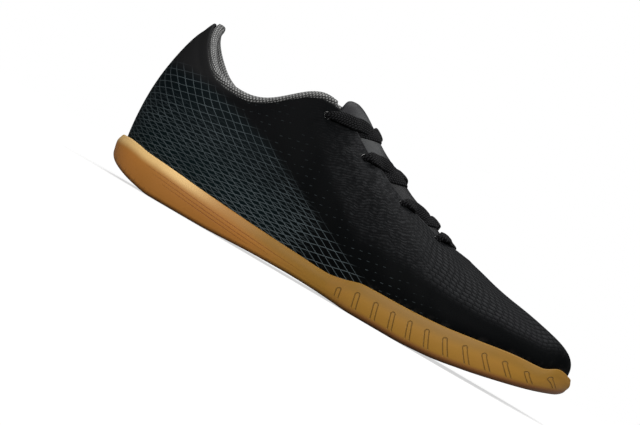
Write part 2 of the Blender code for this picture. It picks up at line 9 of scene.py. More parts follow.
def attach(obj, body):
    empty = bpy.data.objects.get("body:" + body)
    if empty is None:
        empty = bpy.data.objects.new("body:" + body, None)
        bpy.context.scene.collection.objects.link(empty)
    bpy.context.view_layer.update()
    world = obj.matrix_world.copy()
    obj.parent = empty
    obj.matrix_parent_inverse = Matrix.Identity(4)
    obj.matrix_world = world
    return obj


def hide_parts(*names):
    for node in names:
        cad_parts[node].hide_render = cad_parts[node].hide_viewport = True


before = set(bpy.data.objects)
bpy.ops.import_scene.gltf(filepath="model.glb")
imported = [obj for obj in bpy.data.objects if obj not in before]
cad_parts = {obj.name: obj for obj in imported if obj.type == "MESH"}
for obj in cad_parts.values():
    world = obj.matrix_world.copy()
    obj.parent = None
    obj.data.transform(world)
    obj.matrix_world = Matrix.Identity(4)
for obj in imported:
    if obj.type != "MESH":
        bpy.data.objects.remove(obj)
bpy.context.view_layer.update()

# The sizes of the CAD part, so that each look sits on its solid.
SHOE_LENGTH = 0.288
SHOE_WIDTH = 0.0985
TOP_HEIGHT = 0.1033
SOLE_RISE = 0.0228
TOE_SPRING = 0.0200
HEEL_BEVEL = 0.0130
ARCH_RISE = 0.0018
GAP = 0.0003
CUP_CLEARANCE = 0.0006
TONGUE_CLEARANCE = 0.0007
UPPER_WALL = 0.0018
RIM_WALL = 0.0026
INSOLE_THICKNESS = 0.0036
TONGUE_THICKNESS = 0.0032
COLLAR_ROLL = 0.0036
TREAD_DEPTH = 0.0012
EYELET_RADIUS = 0.0021
EYELET_INSET = 0.0075
PAD_CLEARANCE = 0.0005
HEEL_PAD = 0.0115
PAD_DEPTH = 0.0260
EYELETS = (-0.152, -0.062, 0.038, 0.126)
SLOTS = (0.042, 0.078, 0.118, 0.154, 0.190, 0.225, 0.261, 0.300, 0.337, 0.377, 0.421, 0.463)
FLEX_GROOVES = (
    (-0.445, 0.0),
    (-0.415, 0.0),
    (-0.235, 0.1),
    (-0.205, 0.1),
    (0.030, 0.15),
    (0.060, 0.15),
    (0.200, 0.25),
    (0.235, 0.25),
    (0.270, 0.25),
    (0.305, 0.25),
    (0.340, 0.2),
)
GROOVE_WIDTH = 0.0024
GROOVE_REACH = 0.84
TONGUE_LAP = 0.70
TONGUE_TOP_ROW = 8.95
CROWN_SPAN = 0.030
# How the tongue's crown rises along the shoe. Its top end is a little higher here than in the solid.
CROWN = (
    (-0.155, 0.072),
    (-0.140, 0.088),
    (-0.119, 0.107),
    (-0.086, 0.112),
    (-0.053, 0.1060),
    (-0.005, 0.0980),
    (0.080, 0.0840),
    (0.149, 0.0490),
    (0.212, 0.0180),
)

# The look's own sizes.
LACE_WIDTH = 0.0080
LACE_THICKNESS = 0.0025
# How steeply each outer strand climbs from its eyelet, the share of the way to the next eyelet
# at which the inner strands go under the outer edge and the outer ones under the inner edge,
# how steeply a strand comes up from there, the shares of the way across the tongue at which its
# line is worked out, and how far it is pressed into the tongue.
LACE_RISES = (0.23, 0.19, 0.06, 0.13)
LACE_END = 0.58
LACE_FAR_END = 0.90
LACE_END_RISE = 0.32
LINE_SHARES = (0.08, 0.15, 0.22, 0.30, 0.38, 0.50)
LACE_SINK = 0.0017
# The line inside the shoe that its inner faces look at.
CORE_END = 0.090
CORE_HEIGHT = 0.030
UP = np.array([0.0, 0.0, 1.0])

# One row for each wall section, from the middle of the toe to the middle of the heel. The outer
# and inner sides use the same rows: a line's y is its middle less or plus its half-width.
# x is a share of the length, sideways sizes are shares of the width, heights shares of the top
# height. bulge and lift place the side rail from the foot line, and along, swell and fall place
# the shoulder rail from the edge line (along is the share of the way out to the foot line).
SECTION_COLUMNS = (
    "foot_x foot_mid foot_half edge_x edge_mid edge_half edge_z bulge lift along swell fall"
).split()
SECTIONS = (
    (0.4868, 0.082, 0.000, 0.2120, 0.030, 0.000, 0.5680, 0.005, 0.190, 0.57, 0.000, 0.134),
    (0.4715, 0.082, 0.172, 0.2066, 0.030, 0.046, 0.5700, 0.010, 0.190, 0.57, 0.000, 0.134),
    (0.4280, 0.051, 0.315, 0.1892, 0.028, 0.081, 0.5770, 0.015, 0.175, 0.56, 0.000, 0.128),
    (0.3560, 0.023, 0.414, 0.1562, 0.025, 0.107, 0.5910, 0.020, 0.170, 0.53, 0.000, 0.124),
    (0.2708, 0.003, 0.458, 0.1111, 0.020, 0.127, 0.6180, 0.020, 0.184, 0.51, 0.000, 0.132),
    (0.1806, -0.012, 0.452, 0.0521, 0.015, 0.142, 0.6680, 0.020, 0.214, 0.50, 0.000, 0.132),
    (0.0833, -0.036, 0.412, -0.0139, 0.010, 0.157, 0.7470, 0.025, 0.252, 0.50, 0.005, 0.146),
    (-0.0208, -0.046, 0.348, -0.0764, 0.007, 0.173, 0.8340, 0.030, 0.291, 0.50, 0.010, 0.160),
    (-0.1060, -0.042, 0.313, -0.1180, 0.005, 0.178, 0.9030, 0.036, 0.320, 0.50, 0.020, 0.180),
    (-0.1389, -0.036, 0.305, -0.1389, 0.004, 0.192, 0.9180, 0.036, 0.330, 0.50, 0.025, 0.190),
    (-0.1736, -0.030, 0.302, -0.1736, 0.003, 0.234, 0.9200, 0.036, 0.320, 0.45, 0.030, 0.195),
    (-0.2257, -0.020, 0.304, -0.2222, 0.000, 0.282, 0.8420, 0.036, 0.290, 0.30, 0.030, 0.190),
    (-0.2986, -0.008, 0.317, -0.2850, 0.000, 0.300, 0.7175, 0.036, 0.214, 0.20, 0.030, 0.165),
    (-0.3750, 0.000, 0.315, -0.3540, 0.000, 0.290, 0.7107, 0.038, 0.214, 0.20, 0.034, 0.165),
    (-0.4180, 0.001, 0.282, -0.3850, 0.000, 0.262, 0.7400, 0.042, 0.220, 0.20, 0.050, 0.170),
    (-0.4530, 0.002, 0.222, -0.4110, 0.000, 0.214, 0.8000, 0.044, 0.240, 0.20, 0.070, 0.180),
    (-0.4785, 0.002, 0.128, -0.4390, 0.000, 0.122, 0.9050, 0.045, 0.270, 0.20, 0.090, 0.190),
    (-0.4868, 0.002, 0.000, -0.4520, 0.000, 0.000, 1.0000, 0.045, 0.290, 0.20, 0.098, 0.195),
)

# Side outline of the sole: x as a share of the length, then the top edge of the rim and the floor
# of the cup as shares of the sole's rise, and the underside as shares of the heel bevel, the arch
# rise and the toe spring.
SOLE_COLUMNS = ("x", "rim", "cup", "heel", "arch", "toe")
SOLE_OUTLINE = (
    (-0.500, 0.96, 0.70, 1.00, 0.00, 0.00),
    (-0.486, 1.00, 0.70, 0.66, 0.00, 0.00),
    (-0.465, 1.00, 0.69, 0.44, 0.00, 0.00),
    (-0.440, 0.97, 0.68, 0.27, 0.00, 0.00),
    (-0.415, 0.92, 0.67, 0.14, 0.00, 0.00),
    (-0.370, 0.88, 0.64, 0.00, 0.00, 0.00),
    (-0.270, 0.77, 0.56, 0.00, 0.00, 0.00),
    (-0.140, 0.66, 0.47, 0.00, 0.80, 0.00),
    (-0.060, 0.61, 0.42, 0.00, 1.00, 0.00),
    (0.005, 0.575, 0.40, 0.00, 0.75, 0.00),
    (0.035, 0.63, 0.40, 0.00, 0.45, 0.00),
    (0.080, 0.77, 0.42, 0.00, 0.00, 0.00),
    (0.170, 0.80, 0.46, 0.00, 0.00, 0.00),
    (0.240, 0.86, 0.52, 0.00, 0.00, 0.06),
    (0.310, 0.98, 0.62, 0.00, 0.00, 0.22),
    (0.390, 1.13, 0.78, 0.00, 0.00, 0.47),
    (0.440, 1.18, 0.88, 0.00, 0.00, 0.66),
    (0.472, 1.36, 0.94, 0.00, 0.00, 0.82),
    (0.500, 1.27, 0.98, 0.00, 0.00, 1.00),
)

# The collar's padding: the row of the section table, then its thickness as a share of the heel
# pad's, how far its roll stands above the edge as a share of the roll, its depth down the wall
# as a share of the pad's depth, and the share of the thickness that it has at the very top.
PAD_SECTIONS = (
    (9.3, 0.26, 0.70, 0.50, 1.00),
    (11.0, 0.32, 1.00, 0.70, 1.00),
    (12.5, 0.42, 1.00, 0.85, 1.00),
    (14.0, 0.78, 0.95, 1.00, 0.85),
    (15.5, 1.00, 0.60, 1.10, 0.55),
    (17.0, 1.00, 0.10, 1.15, 0.34),
)


def eased(xs, ys, x):
    """A smooth line through the points that never overshoots them, read at x."""
    xs, ys, x = np.asarray(xs, float), np.asarray(ys, float), np.asarray(x, float)
    step, rise = np.diff(xs), np.diff(ys)
    slope = rise / step
    same = slope[:-1] * slope[1:] > 0
    w_left, w_right = 2 * step[1:] + step[:-1], step[1:] + 2 * step[:-1]
    safe = np.where(same, slope[:-1] * slope[1:], 1.0)
    mean = safe * (w_left + w_right) / (w_left * slope[1:] + w_right * slope[:-1] + (~same))
    tangent = np.concatenate([[slope[0]], np.where(same, mean, 0.0), [slope[-1]]])
    x = np.clip(x, xs[0], xs[-1])
    i = np.clip(np.searchsorted(xs, x, side="right") - 1, 0, len(step) - 1)
    t = (x - xs[i]) / step[i]
    return (
        ys[i] * (1 + 2 * t) * (1 - t) ** 2
        + tangent[i] * step[i] * t * (1 - t) ** 2
        + ys[i + 1] * t * t * (3 - 2 * t)
        + tangent[i + 1] * step[i] * t * t * (t - 1)
    )


def walked_along(points):
    """The distance walked from the first point to each."""
    return np.concatenate([[0], np.cumsum(np.linalg.norm(np.diff(points, axis=0), axis=1))])


def walked_across(grid):
    """The distance walked along each row of a grid of points, in millimetres."""
    steps = np.linalg.norm(np.diff(grid, axis=1), axis=2)
    return np.concatenate([np.zeros((len(grid), 1)), np.cumsum(steps, axis=1)], axis=1) * 1000


def unit(vectors):
    return vectors / np.linalg.norm(vectors, axis=-1, keepdims=True)


def hill(distance, width):
    """1 at no distance, and less the farther it is."""
    return np.exp(-((distance / width) ** 2))


class Loop:
    """A closed curve of several values, smooth to its second derivative, through its knots."""

    def __init__(self, knots, values, period):
        self.knots, self.values, self.period = knots, values, period
        n = len(knots)
        gaps = np.diff(np.append(knots, knots[0] + period))
        slopes = (np.roll(values, -1, axis=0) - values) / gaps[:, None]
        system = np.zeros((n, n))
        for i in range(n):
            system[i, i - 1] += gaps[i - 1]
            system[i, i] += 2 * (gaps[i - 1] + gaps[i])
            system[i, (i + 1) % n] += gaps[i]
        self.gaps = gaps
        self.bends = np.linalg.solve(system, 6 * (slopes - np.roll(slopes, 1, axis=0)))

    def at(self, u):
        u = np.mod(np.asarray(u, float), self.period)
        i = np.clip(np.searchsorted(self.knots, u, side="right") - 1, 0, len(self.knots) - 1)
        j = (i + 1) % len(self.knots)
        gap = self.gaps[i][..., None]
        b = (u - self.knots[i])[..., None] / gap
        a = 1 - b
        bend = (a**3 - a) * self.bends[i] + (b**3 - b) * self.bends[j]
        return a * self.values[i] + b * self.values[j] + bend * gap**2 / 6


def section_loop():
    """The loop of wall sections, and the length of its half from toe to heel."""
    rows = [dict(zip(SECTION_COLUMNS, row)) for row in SECTIONS]

    def values(row, side):
        return (
            row["foot_x"] * SHOE_LENGTH,
            (row["foot_mid"] + side * row["foot_half"]) * SHOE_WIDTH,
            row["edge_x"] * SHOE_LENGTH,
            (row["edge_mid"] + side * row["edge_half"]) * SHOE_WIDTH,
            row["edge_z"] * TOP_HEIGHT,
            row["bulge"] * SHOE_WIDTH,
            row["lift"] * TOP_HEIGHT,
            row["along"],
            row["swell"] * SHOE_WIDTH,
            row["fall"] * TOP_HEIGHT,
        )

    outer = np.array([values(row, -1) for row in rows])
    inner = np.array([values(row, 1) for row in rows])
    chords = [np.linalg.norm(np.diff(side[:, :2], axis=0), axis=1) for side in (outer, inner)]
    half = np.concatenate([[0.0], np.cumsum((chords[0] + chords[1]) / 2)])
    length = half[-1]
    knots = np.concatenate([half, 2 * length - half[-2:0:-1]])
    return Loop(knots, np.concatenate([outer, inner[-2:0:-1]]), 2 * length), length


LOOP, HALF = section_loop()
ROW_KNOTS = LOOP.knots[: len(SECTIONS)]


def outline_column(name, x):
    """A column of the sole's side outline at the place x along the shoe."""
    place = SOLE_COLUMNS.index(name)
    shares = np.array(SOLE_OUTLINE)
    return eased(shares[:, 0] * SHOE_LENGTH, shares[:, place], x)


def rim_height(x):
    return SOLE_RISE * outline_column("rim", x)


def underside_height(x):
    return (
        HEEL_BEVEL * outline_column("heel", x)
        + ARCH_RISE * outline_column("arch", x)
        + TOE_SPRING * outline_column("toe", x)
    )


def cup_floor_height(x):
    return SOLE_RISE * outline_column("cup", x)


def foot_line(u, outward=0.0):
    """Points of the foot line in plan, moved outward along its normal, and that normal."""
    u = np.asarray(u, float)
    step = HALF * 1e-4
    tangent = unit(LOOP.at(u + step)[..., :2] - LOOP.at(u - step)[..., :2])
    normal = np.stack([-tangent[..., 1], tangent[..., 0]], axis=-1)
    return LOOP.at(u)[..., :2] + normal * np.asarray(outward)[..., None], normal


def wall(u, t):
    """The upper's outer face: u runs round the shoe, t from the foot line (0) to the edge (1)."""
    u, t = np.broadcast_arrays(np.asarray(u, float), np.asarray(t, float))
    v = LOOP.at(u)
    foot, normal = foot_line(u)
    edge = v[..., 2:4]
    bulge, lift, along, swell, fall = (v[..., i] for i in range(5, 10))
    side = foot + normal * bulge[..., None]
    shoulder = edge + (foot - edge) * along[..., None] + normal * swell[..., None]
    foot_z = rim_height(foot[..., 0])
    rails = (
        np.concatenate([foot, foot_z[..., None]], axis=-1),
        np.concatenate([side, (foot_z + lift)[..., None]], axis=-1),
        np.concatenate([shoulder, (v[..., 4] - fall)[..., None]], axis=-1),
        np.concatenate([edge, v[..., 4][..., None]], axis=-1),
    )
    weights = ((1 - t) ** 3, 3 * t * (1 - t) ** 2, 3 * t * t * (1 - t), t**3)
    return sum(rail * weight[..., None] for rail, weight in zip(rails, weights))


def wall_normal(u, t):
    """The outward unit normal of the upper's outer face."""
    u, t = np.broadcast_arrays(np.asarray(u, float), np.asarray(t, float))
    du, dt = HALF * 1e-4, 1e-3
    across = wall(u, np.clip(t + dt, 0, 1)) - wall(u, np.clip(t - dt, 0, 1))
    around = wall(u + du, t) - wall(u - du, t)
    return unit(np.cross(across, around))


def place_along_wall(u, down):
    """The t of the point a distance down the wall from its edge."""
    ts = np.linspace(1, 0, 121)
    points = wall(np.full_like(ts, u), ts)
    return float(np.interp(down, walked_along(points), ts))


def station_at(x, line="foot"):
    """The u on the outer side whose foot line or edge line lies at x."""
    us = np.linspace(0, HALF, 2001)
    column = LOOP.at(us)[:, 0 if line == "foot" else 2]
    return float(np.interp(-x, -column, us))


def ring_stations(count):
    """Places round the shoe, closer together where the rows of sections are closer."""
    half = pair_stations(0, len(ROW_KNOTS) - 1, count // 2 + 1)
    return np.concatenate([half, 2 * HALF - half[-2:0:-1]])


def pair_stations(first, last, count):
    """Places on the outer side between two rows of the section table, given as row numbers."""
    return np.interp(np.linspace(first, last, count), np.arange(len(ROW_KNOTS)), ROW_KNOTS)


def crown(x):
    """How far the tongue's middle stands above the edges of the throat."""
    places, heights = np.array(CROWN).T
    return TOP_HEIGHT * eased(places * SHOE_LENGTH, heights, x)


def tongue_top(u, share):
    """The tongue's outer face: share runs from the outer edge of the throat to the inner one."""
    depth = UPPER_WALL + TONGUE_CLEARANCE
    outer = wall(u, 1.0) - wall_normal(u, 1.0) * depth
    inner = wall(2 * HALF - u, 1.0) - wall_normal(2 * HALF - u, 1.0) * depth
    share = np.asarray(share, float)[..., None]
    point = outer * (1 - share) + inner * share
    point[..., 2] += (crown(point[..., 0]) * (1 - (2 * share[..., 0] - 1) ** 2)) * np.clip(
        np.abs(inner[..., 1] - outer[..., 1]) / CROWN_SPAN, 0, 1
    )
    return point


def smooth_between(low, high, x):
    share = np.clip((np.asarray(x, float) - low) / (high - low), 0, 1)
    return share * share * (3 - 2 * share)


def mesh_of(name, patches, materials):
    """One closed object from grids of points. A patch is (points, wraps rows, wraps columns, layers).

    A layer is a UV map, and each patch has the same ones. Its grid has one more row or column than
    the points where the patch wraps.
    """
    points, faces = [], []
    corners = {key: [] for key in patches[0][3]}
    start = 0
    for grid, wrap_rows, wrap_columns, layers in patches:
        rows, columns = grid.shape[:2]
        i = np.arange(rows if wrap_rows else rows - 1)[:, None]
        j = np.arange(columns if wrap_columns else columns - 1)[None, :]
        near, far = i * columns, ((i + 1) % rows) * columns
        left, right = j, (j + 1) % columns
        quads = np.stack([near + left, near + right, far + right, far + left], axis=-1)
        faces.append(quads.reshape(-1, 4) + start)
        points.append(grid.reshape(-1, 3))
        for key, values in layers.items():
            around = [values[i, j], values[i, j + 1], values[i + 1, j + 1], values[i + 1, j]]
            corners[key].append(np.stack(around, axis=2).reshape(-1, 2))
        start += rows * columns
    mesh = bpy.data.meshes.new(name)
    mesh.from_pydata(np.concatenate(points).tolist(), [], np.concatenate(faces).tolist())
    for key, parts in corners.items():
        uv_map = mesh.uv_layers.new(name=key)
        uv_map.data.foreach_set("uv", np.concatenate(parts).astype(np.float32).ravel())
    work = bmesh.new()
    work.from_mesh(mesh)
    bmesh.ops.remove_doubles(work, verts=work.verts, dist=2e-6)
    bmesh.ops.recalc_face_normals(work, faces=work.faces)
    work.to_mesh(mesh)
    work.free()
    for material in materials:
        mesh.materials.append(material)
    mesh.shade_smooth()
    made = bpy.data.objects.new(name, mesh)
    bpy.context.scene.collection.objects.link(made)
    return made


def solid_tube(name, grid, materials, layers):
    """A closed tube whose ends are single faces."""
    made = mesh_of(name, [(grid, False, True, layers)], materials)
    work = bmesh.new()
    work.from_mesh(made.data)
    bmesh.ops.holes_fill(work, edges=[e for e in work.edges if e.is_boundary])
    bmesh.ops.recalc_face_normals(work, faces=work.faces)
    work.to_mesh(made.data)
    work.free()
    made.data.shade_smooth()
    return made


def joined(pieces, into):
    """Joins these objects into one of them."""
    bpy.ops.object.select_all(action="DESELECT")
    for piece in pieces:
        piece.select_set(True)
    bpy.context.view_layer.objects.active = into
    bpy.ops.object.join()
    return bpy.context.view_layer.objects.active


def cut(target, cutters):
    """Cuts these closed meshes, joined into one, from the target."""
    bpy.context.view_layer.update()
    cutter = joined(cutters, cutters[0])
    change = target.modifiers.new("cut", "BOOLEAN")
    change.operation = "DIFFERENCE"
    change.object = cutter
    change.solver = "MANIFOLD"
    bpy.context.view_layer.update()
    graph = bpy.context.evaluated_depsgraph_get()
    mesh = bpy.data.meshes.new_from_object(target.evaluated_get(graph))
    target.modifiers.clear()
    old = target.data
    target.data = mesh
    bpy.data.meshes.remove(old)
    bpy.data.objects.remove(cutter, do_unlink=True)


def unrolled(u):
    """The place along the side in millimetres: x, and round the heel the distance walked."""
    us = np.linspace(0, 2 * HALF, 4001)
    plan = wall(us, 0.35)[:, :2]
    bend_x = -0.108
    walked = walked_along(plan)
    outer = int(np.argmax(plan[:, 0] < bend_x))
    inner = len(us) - 1 - int(np.argmax(plan[::-1, 0] < bend_x))
    middle = walked[len(us) // 2]
    first, last = walked[outer], walked[inner]
    half = (last - first) / 2
    place = plan[:, 0].copy()
    behind = slice(outer, inner + 1)
    share = np.where(
        walked[behind] < middle,
        (walked[behind] - first) / (middle - first),
        (last - walked[behind]) / (last - middle),
    )
    place[behind] = bend_x - half * share
    return np.interp(np.mod(u, 2 * HALF), us, place) * 1000


# What the shaders are made of.


class Field:
    """A number at each point of a surface, worked out by shader nodes."""

    def __init__(self, tree, socket):
        self.tree, self.socket = tree, socket

    def math(self, kind, *others, first=None):
        node = self.tree.nodes.new("ShaderNodeMath")
        node.operation = kind
        values = (first, self, *others) if first is not None else (self, *others)
        for place, value in enumerate(values):
            if isinstance(value, Field):
                self.tree.links.new(value.socket, node.inputs[place])
            else:
                node.inputs[place].default_value = value
        return Field(self.tree, node.outputs[0])

    def __add__(self, other):
        return self.math("ADD", other)

    __radd__ = __add__

    def __sub__(self, other):
        return self.math("SUBTRACT", other)

    def __rsub__(self, other):
        return self.math("SUBTRACT", first=other)

    def __mul__(self, other):
        return self.math("MULTIPLY", other)

    __rmul__ = __mul__

    def __truediv__(self, other):
        return self.math("DIVIDE", other)

    def sin(self):
        return self.math("SINE")

    def fract(self):
        return self.math("FRACT")

    def wave(self):
        """1 at each whole number and 0 halfway between them."""
        return (self.fract() * 2.0 - 1.0).abs()

    def floor(self):
        return self.math("FLOOR")

    def abs(self):
        return self.math("ABSOLUTE")

    def power(self, other):
        return self.math("POWER", other)

    def least(self, other):
        return self.math("MINIMUM", other)

    def most(self, other):
        return self.math("MAXIMUM", other)

    def ramp(self, low, high):
        """0 below low, 1 above high, smooth between. Low may be above high."""
        node = self.tree.nodes.new("ShaderNodeMapRange")
        node.interpolation_type = "SMOOTHSTEP"
        flip = low > high
        self.tree.links.new(self.socket, node.inputs["Value"])
        node.inputs["From Min"].default_value = min(low, high)
        node.inputs["From Max"].default_value = max(low, high)
        node.inputs["To Min"].default_value = 1.0 if flip else 0.0
        node.inputs["To Max"].default_value = 0.0 if flip else 1.0
        return Field(self.tree, node.outputs["Result"])

    def blend(self, other, share):
        """This value where share is 0 and the other where it is 1."""
        return self + (other - self) * share


def layer(tree, name):
    node = tree.nodes.new("ShaderNodeUVMap")
    node.uv_map = name
    apart = tree.nodes.new("ShaderNodeSeparateXYZ")
    tree.links.new(node.outputs[0], apart.inputs[0])
    return Field(tree, apart.outputs[0]), Field(tree, apart.outputs[1])


def place(tree):
    """x, y and z on the shoe, in millimetres."""
    node = tree.nodes.new("ShaderNodeTexCoord")
    apart = tree.nodes.new("ShaderNodeSeparateXYZ")
    tree.links.new(node.outputs["Object"], apart.inputs[0])
    return tuple(Field(tree, out) * 1000.0 for out in apart.outputs[:3])


def upness(tree):
    """How far the surface faces up, from -1 to 1."""
    node = tree.nodes.new("ShaderNodeNewGeometry")
    apart = tree.nodes.new("ShaderNodeSeparateXYZ")
    tree.links.new(node.outputs["Normal"], apart.inputs[0])
    return Field(tree, apart.outputs[2])


def noise(tree, scale, detail=2.0, roughness=0.5):
    """A noise from 0 to 1 with about this many lumps a metre."""
    coordinates = tree.nodes.new("ShaderNodeTexCoord")
    node = tree.nodes.new("ShaderNodeTexNoise")
    tree.links.new(coordinates.outputs["Object"], node.inputs["Vector"])
    node.inputs["Scale"].default_value = scale
    node.inputs["Detail"].default_value = detail
    node.inputs["Roughness"].default_value = roughness
    return Field(tree, node.outputs[0])


class Look:
    """A material whose colour, roughness and relief are fields."""

    def __init__(self, name, colour, roughness=0.5, specular=0.5):
        self.material = bpy.data.materials.new(name)
        self.material.use_nodes = True
        self.tree = self.material.node_tree
        self.shader = self.tree.nodes["Principled BSDF"]
        self.shader.inputs["Base Color"].default_value = (*colour, 1.0)
        self.shader.inputs["Roughness"].default_value = roughness
        self.shader.inputs["Specular IOR Level"].default_value = specular
        self.shader.inputs["Metallic"].default_value = 0.0
        self.colour = None
        self.base = colour

    def paint(self, colour, share):
        """Lays a colour over what is there, as thickly as share says."""
        node = self.tree.nodes.new("ShaderNodeMix")
        node.data_type = "RGBA"
        self.tree.links.new(share.socket, node.inputs[0])
        if self.colour is None:
            node.inputs[6].default_value = (*self.base, 1.0)
        else:
            self.tree.links.new(self.colour, node.inputs[6])
        node.inputs[7].default_value = (*colour, 1.0)
        self.colour = node.outputs[2]
        self.tree.links.new(self.colour, self.shader.inputs["Base Color"])

    def rough(self, field):
        self.tree.links.new(field.socket, self.shader.inputs["Roughness"])

    def relief(self, height):
        """Height in millimetres."""
        node = self.tree.nodes.new("ShaderNodeBump")
        node.inputs["Strength"].default_value = 1.0
        node.inputs["Distance"].default_value = 0.001
        self.tree.links.new(height.socket, node.inputs["Height"])
        self.tree.links.new(node.outputs[0], self.shader.inputs["Normal"])


def upper_look():
    """Black coated cloth: scales on the vamp, a teal lattice at the heel half, plain heel tab."""
    look = Look("black_coated_cloth", (0.0026, 0.0028, 0.0032), 0.50, 0.028)
    tree = look.tree
    x, _, z = place(tree)
    along, share = layer(tree, "pattern")
    walked, height = layer(tree, "girth")
    wander = noise(tree, 90.0, 2.0) - 0.5
    grain = noise(tree, 2600.0, 2.0)

    # The scales of the vamp and the finer wavy ridges of the instep, with painted highlights on the scales.
    rear = along.ramp(64.0, 34.0)
    rows = share * 21.0 + wander * 0.5
    shift = (rows.floor() * 0.5).fract()
    across = walked / 4.3 + shift + wander * 0.9
    tile = (1.0 - rows.wave().power(3.0)) * (1.0 - across.wave().power(3.5) * 0.95)
    # A painted highlight: each scale is lighter toward its upper edge.
    tile = tile * (0.45 + rows.fract() * 0.75)
    streaks = noise(tree, 150.0, 3.0) - 0.5
    level = (z - along * 0.20 + streaks * 2.6 + wander * 4.0) / 1.45
    ripple = (level * 6.283 + (along * 0.6 + wander * 8.0).sin() * 0.9).sin() * 0.5 + 0.5
    fleck = noise(tree, 420.0, 2.0).ramp(0.36, 0.66)
    scale = tile.blend(ripple * (fleck * 0.55 + 0.20) + fleck * 0.10, rear)
    lowest = (24.0 - along * 0.13).most(11.0).most(28.0 - along * 0.75)
    zone = (height - lowest + wander * 3.0).ramp(-4.5, 6.5) * along.ramp(-62.0, -14.0)
    look.paint((0.0180, 0.0186, 0.0198), zone * scale * (0.95 - rear * 0.15))
    sheen = zone * share.ramp(0.62, 0.98) * along.ramp(-40.0, -5.0) * along.ramp(60.0, 30.0)
    look.paint((0.0235, 0.0240, 0.0252), sheen * (fleck * 0.5 + 0.1))
    # A painted highlight along the edge of the throat.
    look.paint((0.060, 0.060, 0.062), share.ramp(0.975, 0.990) * along.ramp(-46.0, -38.0) * 0.45)
    # Painted shade: below the scales, from the middle of the side forward, the cloth is painted darker.
    look.paint((0.0008, 0.0011, 0.0013), (1.0 - zone) * along.ramp(-75.0, -30.0) * 0.85)

    # The lattice.
    low = z.ramp(62.0, 40.0) * along.ramp(-12.0, -30.0)
    falling = ((along + z * 2.0 - z * z * 0.0048 + wander * 1.2) / 6.3).wave()
    climb = (z - along * 0.22 + wander) / 4.35
    rising = climb.wave()
    flat = ((z + along * 0.16 + wander * 0.8) / 2.42).wave()
    line_a = falling.ramp(0.850, 0.955)
    line_b = rising.ramp(0.865, 0.965).most((climb * 2.0).wave().ramp(0.74, 0.92) * low * 0.5)
    line_c = flat.ramp(0.76, 0.94)
    limit = (27.0 - along * 0.5).least(58.0 - (along + 62.0) * 0.25)
    below = limit - z
    inside = below.ramp(-3.0, 4.0)
    dashes = falling.ramp(0.58, 0.76) * rising.ramp(0.89, 0.97)
    gap = noise(tree, 420.0, 1.0).ramp(0.42, 0.52)
    beyond = below.ramp(-34.0, -4.0) * (1.0 - inside) * along.ramp(-96.0, -80.0)
    lattice = (line_a.most(line_b) * inside).most(line_c * low * inside * 0.75)
    lattice = lattice.most(dashes * beyond * gap * 0.55)
    look.paint((0.0030, 0.0062, 0.0074), inside * along.ramp(-20.0, -80.0) * 0.8)
    look.paint((0.0016, 0.0066, 0.0076), z.ramp(46.0, 24.0) * along.ramp(-12.0, -50.0) * 0.65)
    lit = z.ramp(38.0, 24.0) * along.ramp(-92.0, -60.0) * 0.40
    lit = lit - along.ramp(-90.0, -50.0) * z.ramp(34.0, 46.0) * 0.20
    look.paint((0.068, 0.085, 0.091), lattice * (0.74 + lit + wander * 0.9).most(0.0))
    plain = z.ramp(66.0, 76.0) * along.ramp(-92.0, -108.0)
    look.paint((0.0130, 0.0130, 0.0135), plain)

    # Dirt and wear are slight: a dusty foot above the sole and scuffs at the toe.
    dust = height.ramp(3.5, 0.5) * noise(tree, 300.0, 4.0).ramp(0.45, 0.75)
    look.paint((0.030, 0.027, 0.024), dust * 0.25)
    scuff = x.ramp(122.0, 134.0) * noise(tree, 260.0, 5.0, 0.7).ramp(0.54, 0.68)
    look.paint((0.026, 0.025, 0.023), scuff * 0.30)

    look.rough(0.52 - zone * scale * 0.14 + grain * 0.06 + lattice * 0.06)
    cloth = grain * 0.035 + noise(tree, 700.0, 2.0) * 0.05
    look.relief(scale * zone * (0.40 - rear * 0.16) + lattice * 0.10 + cloth)
    return look.material


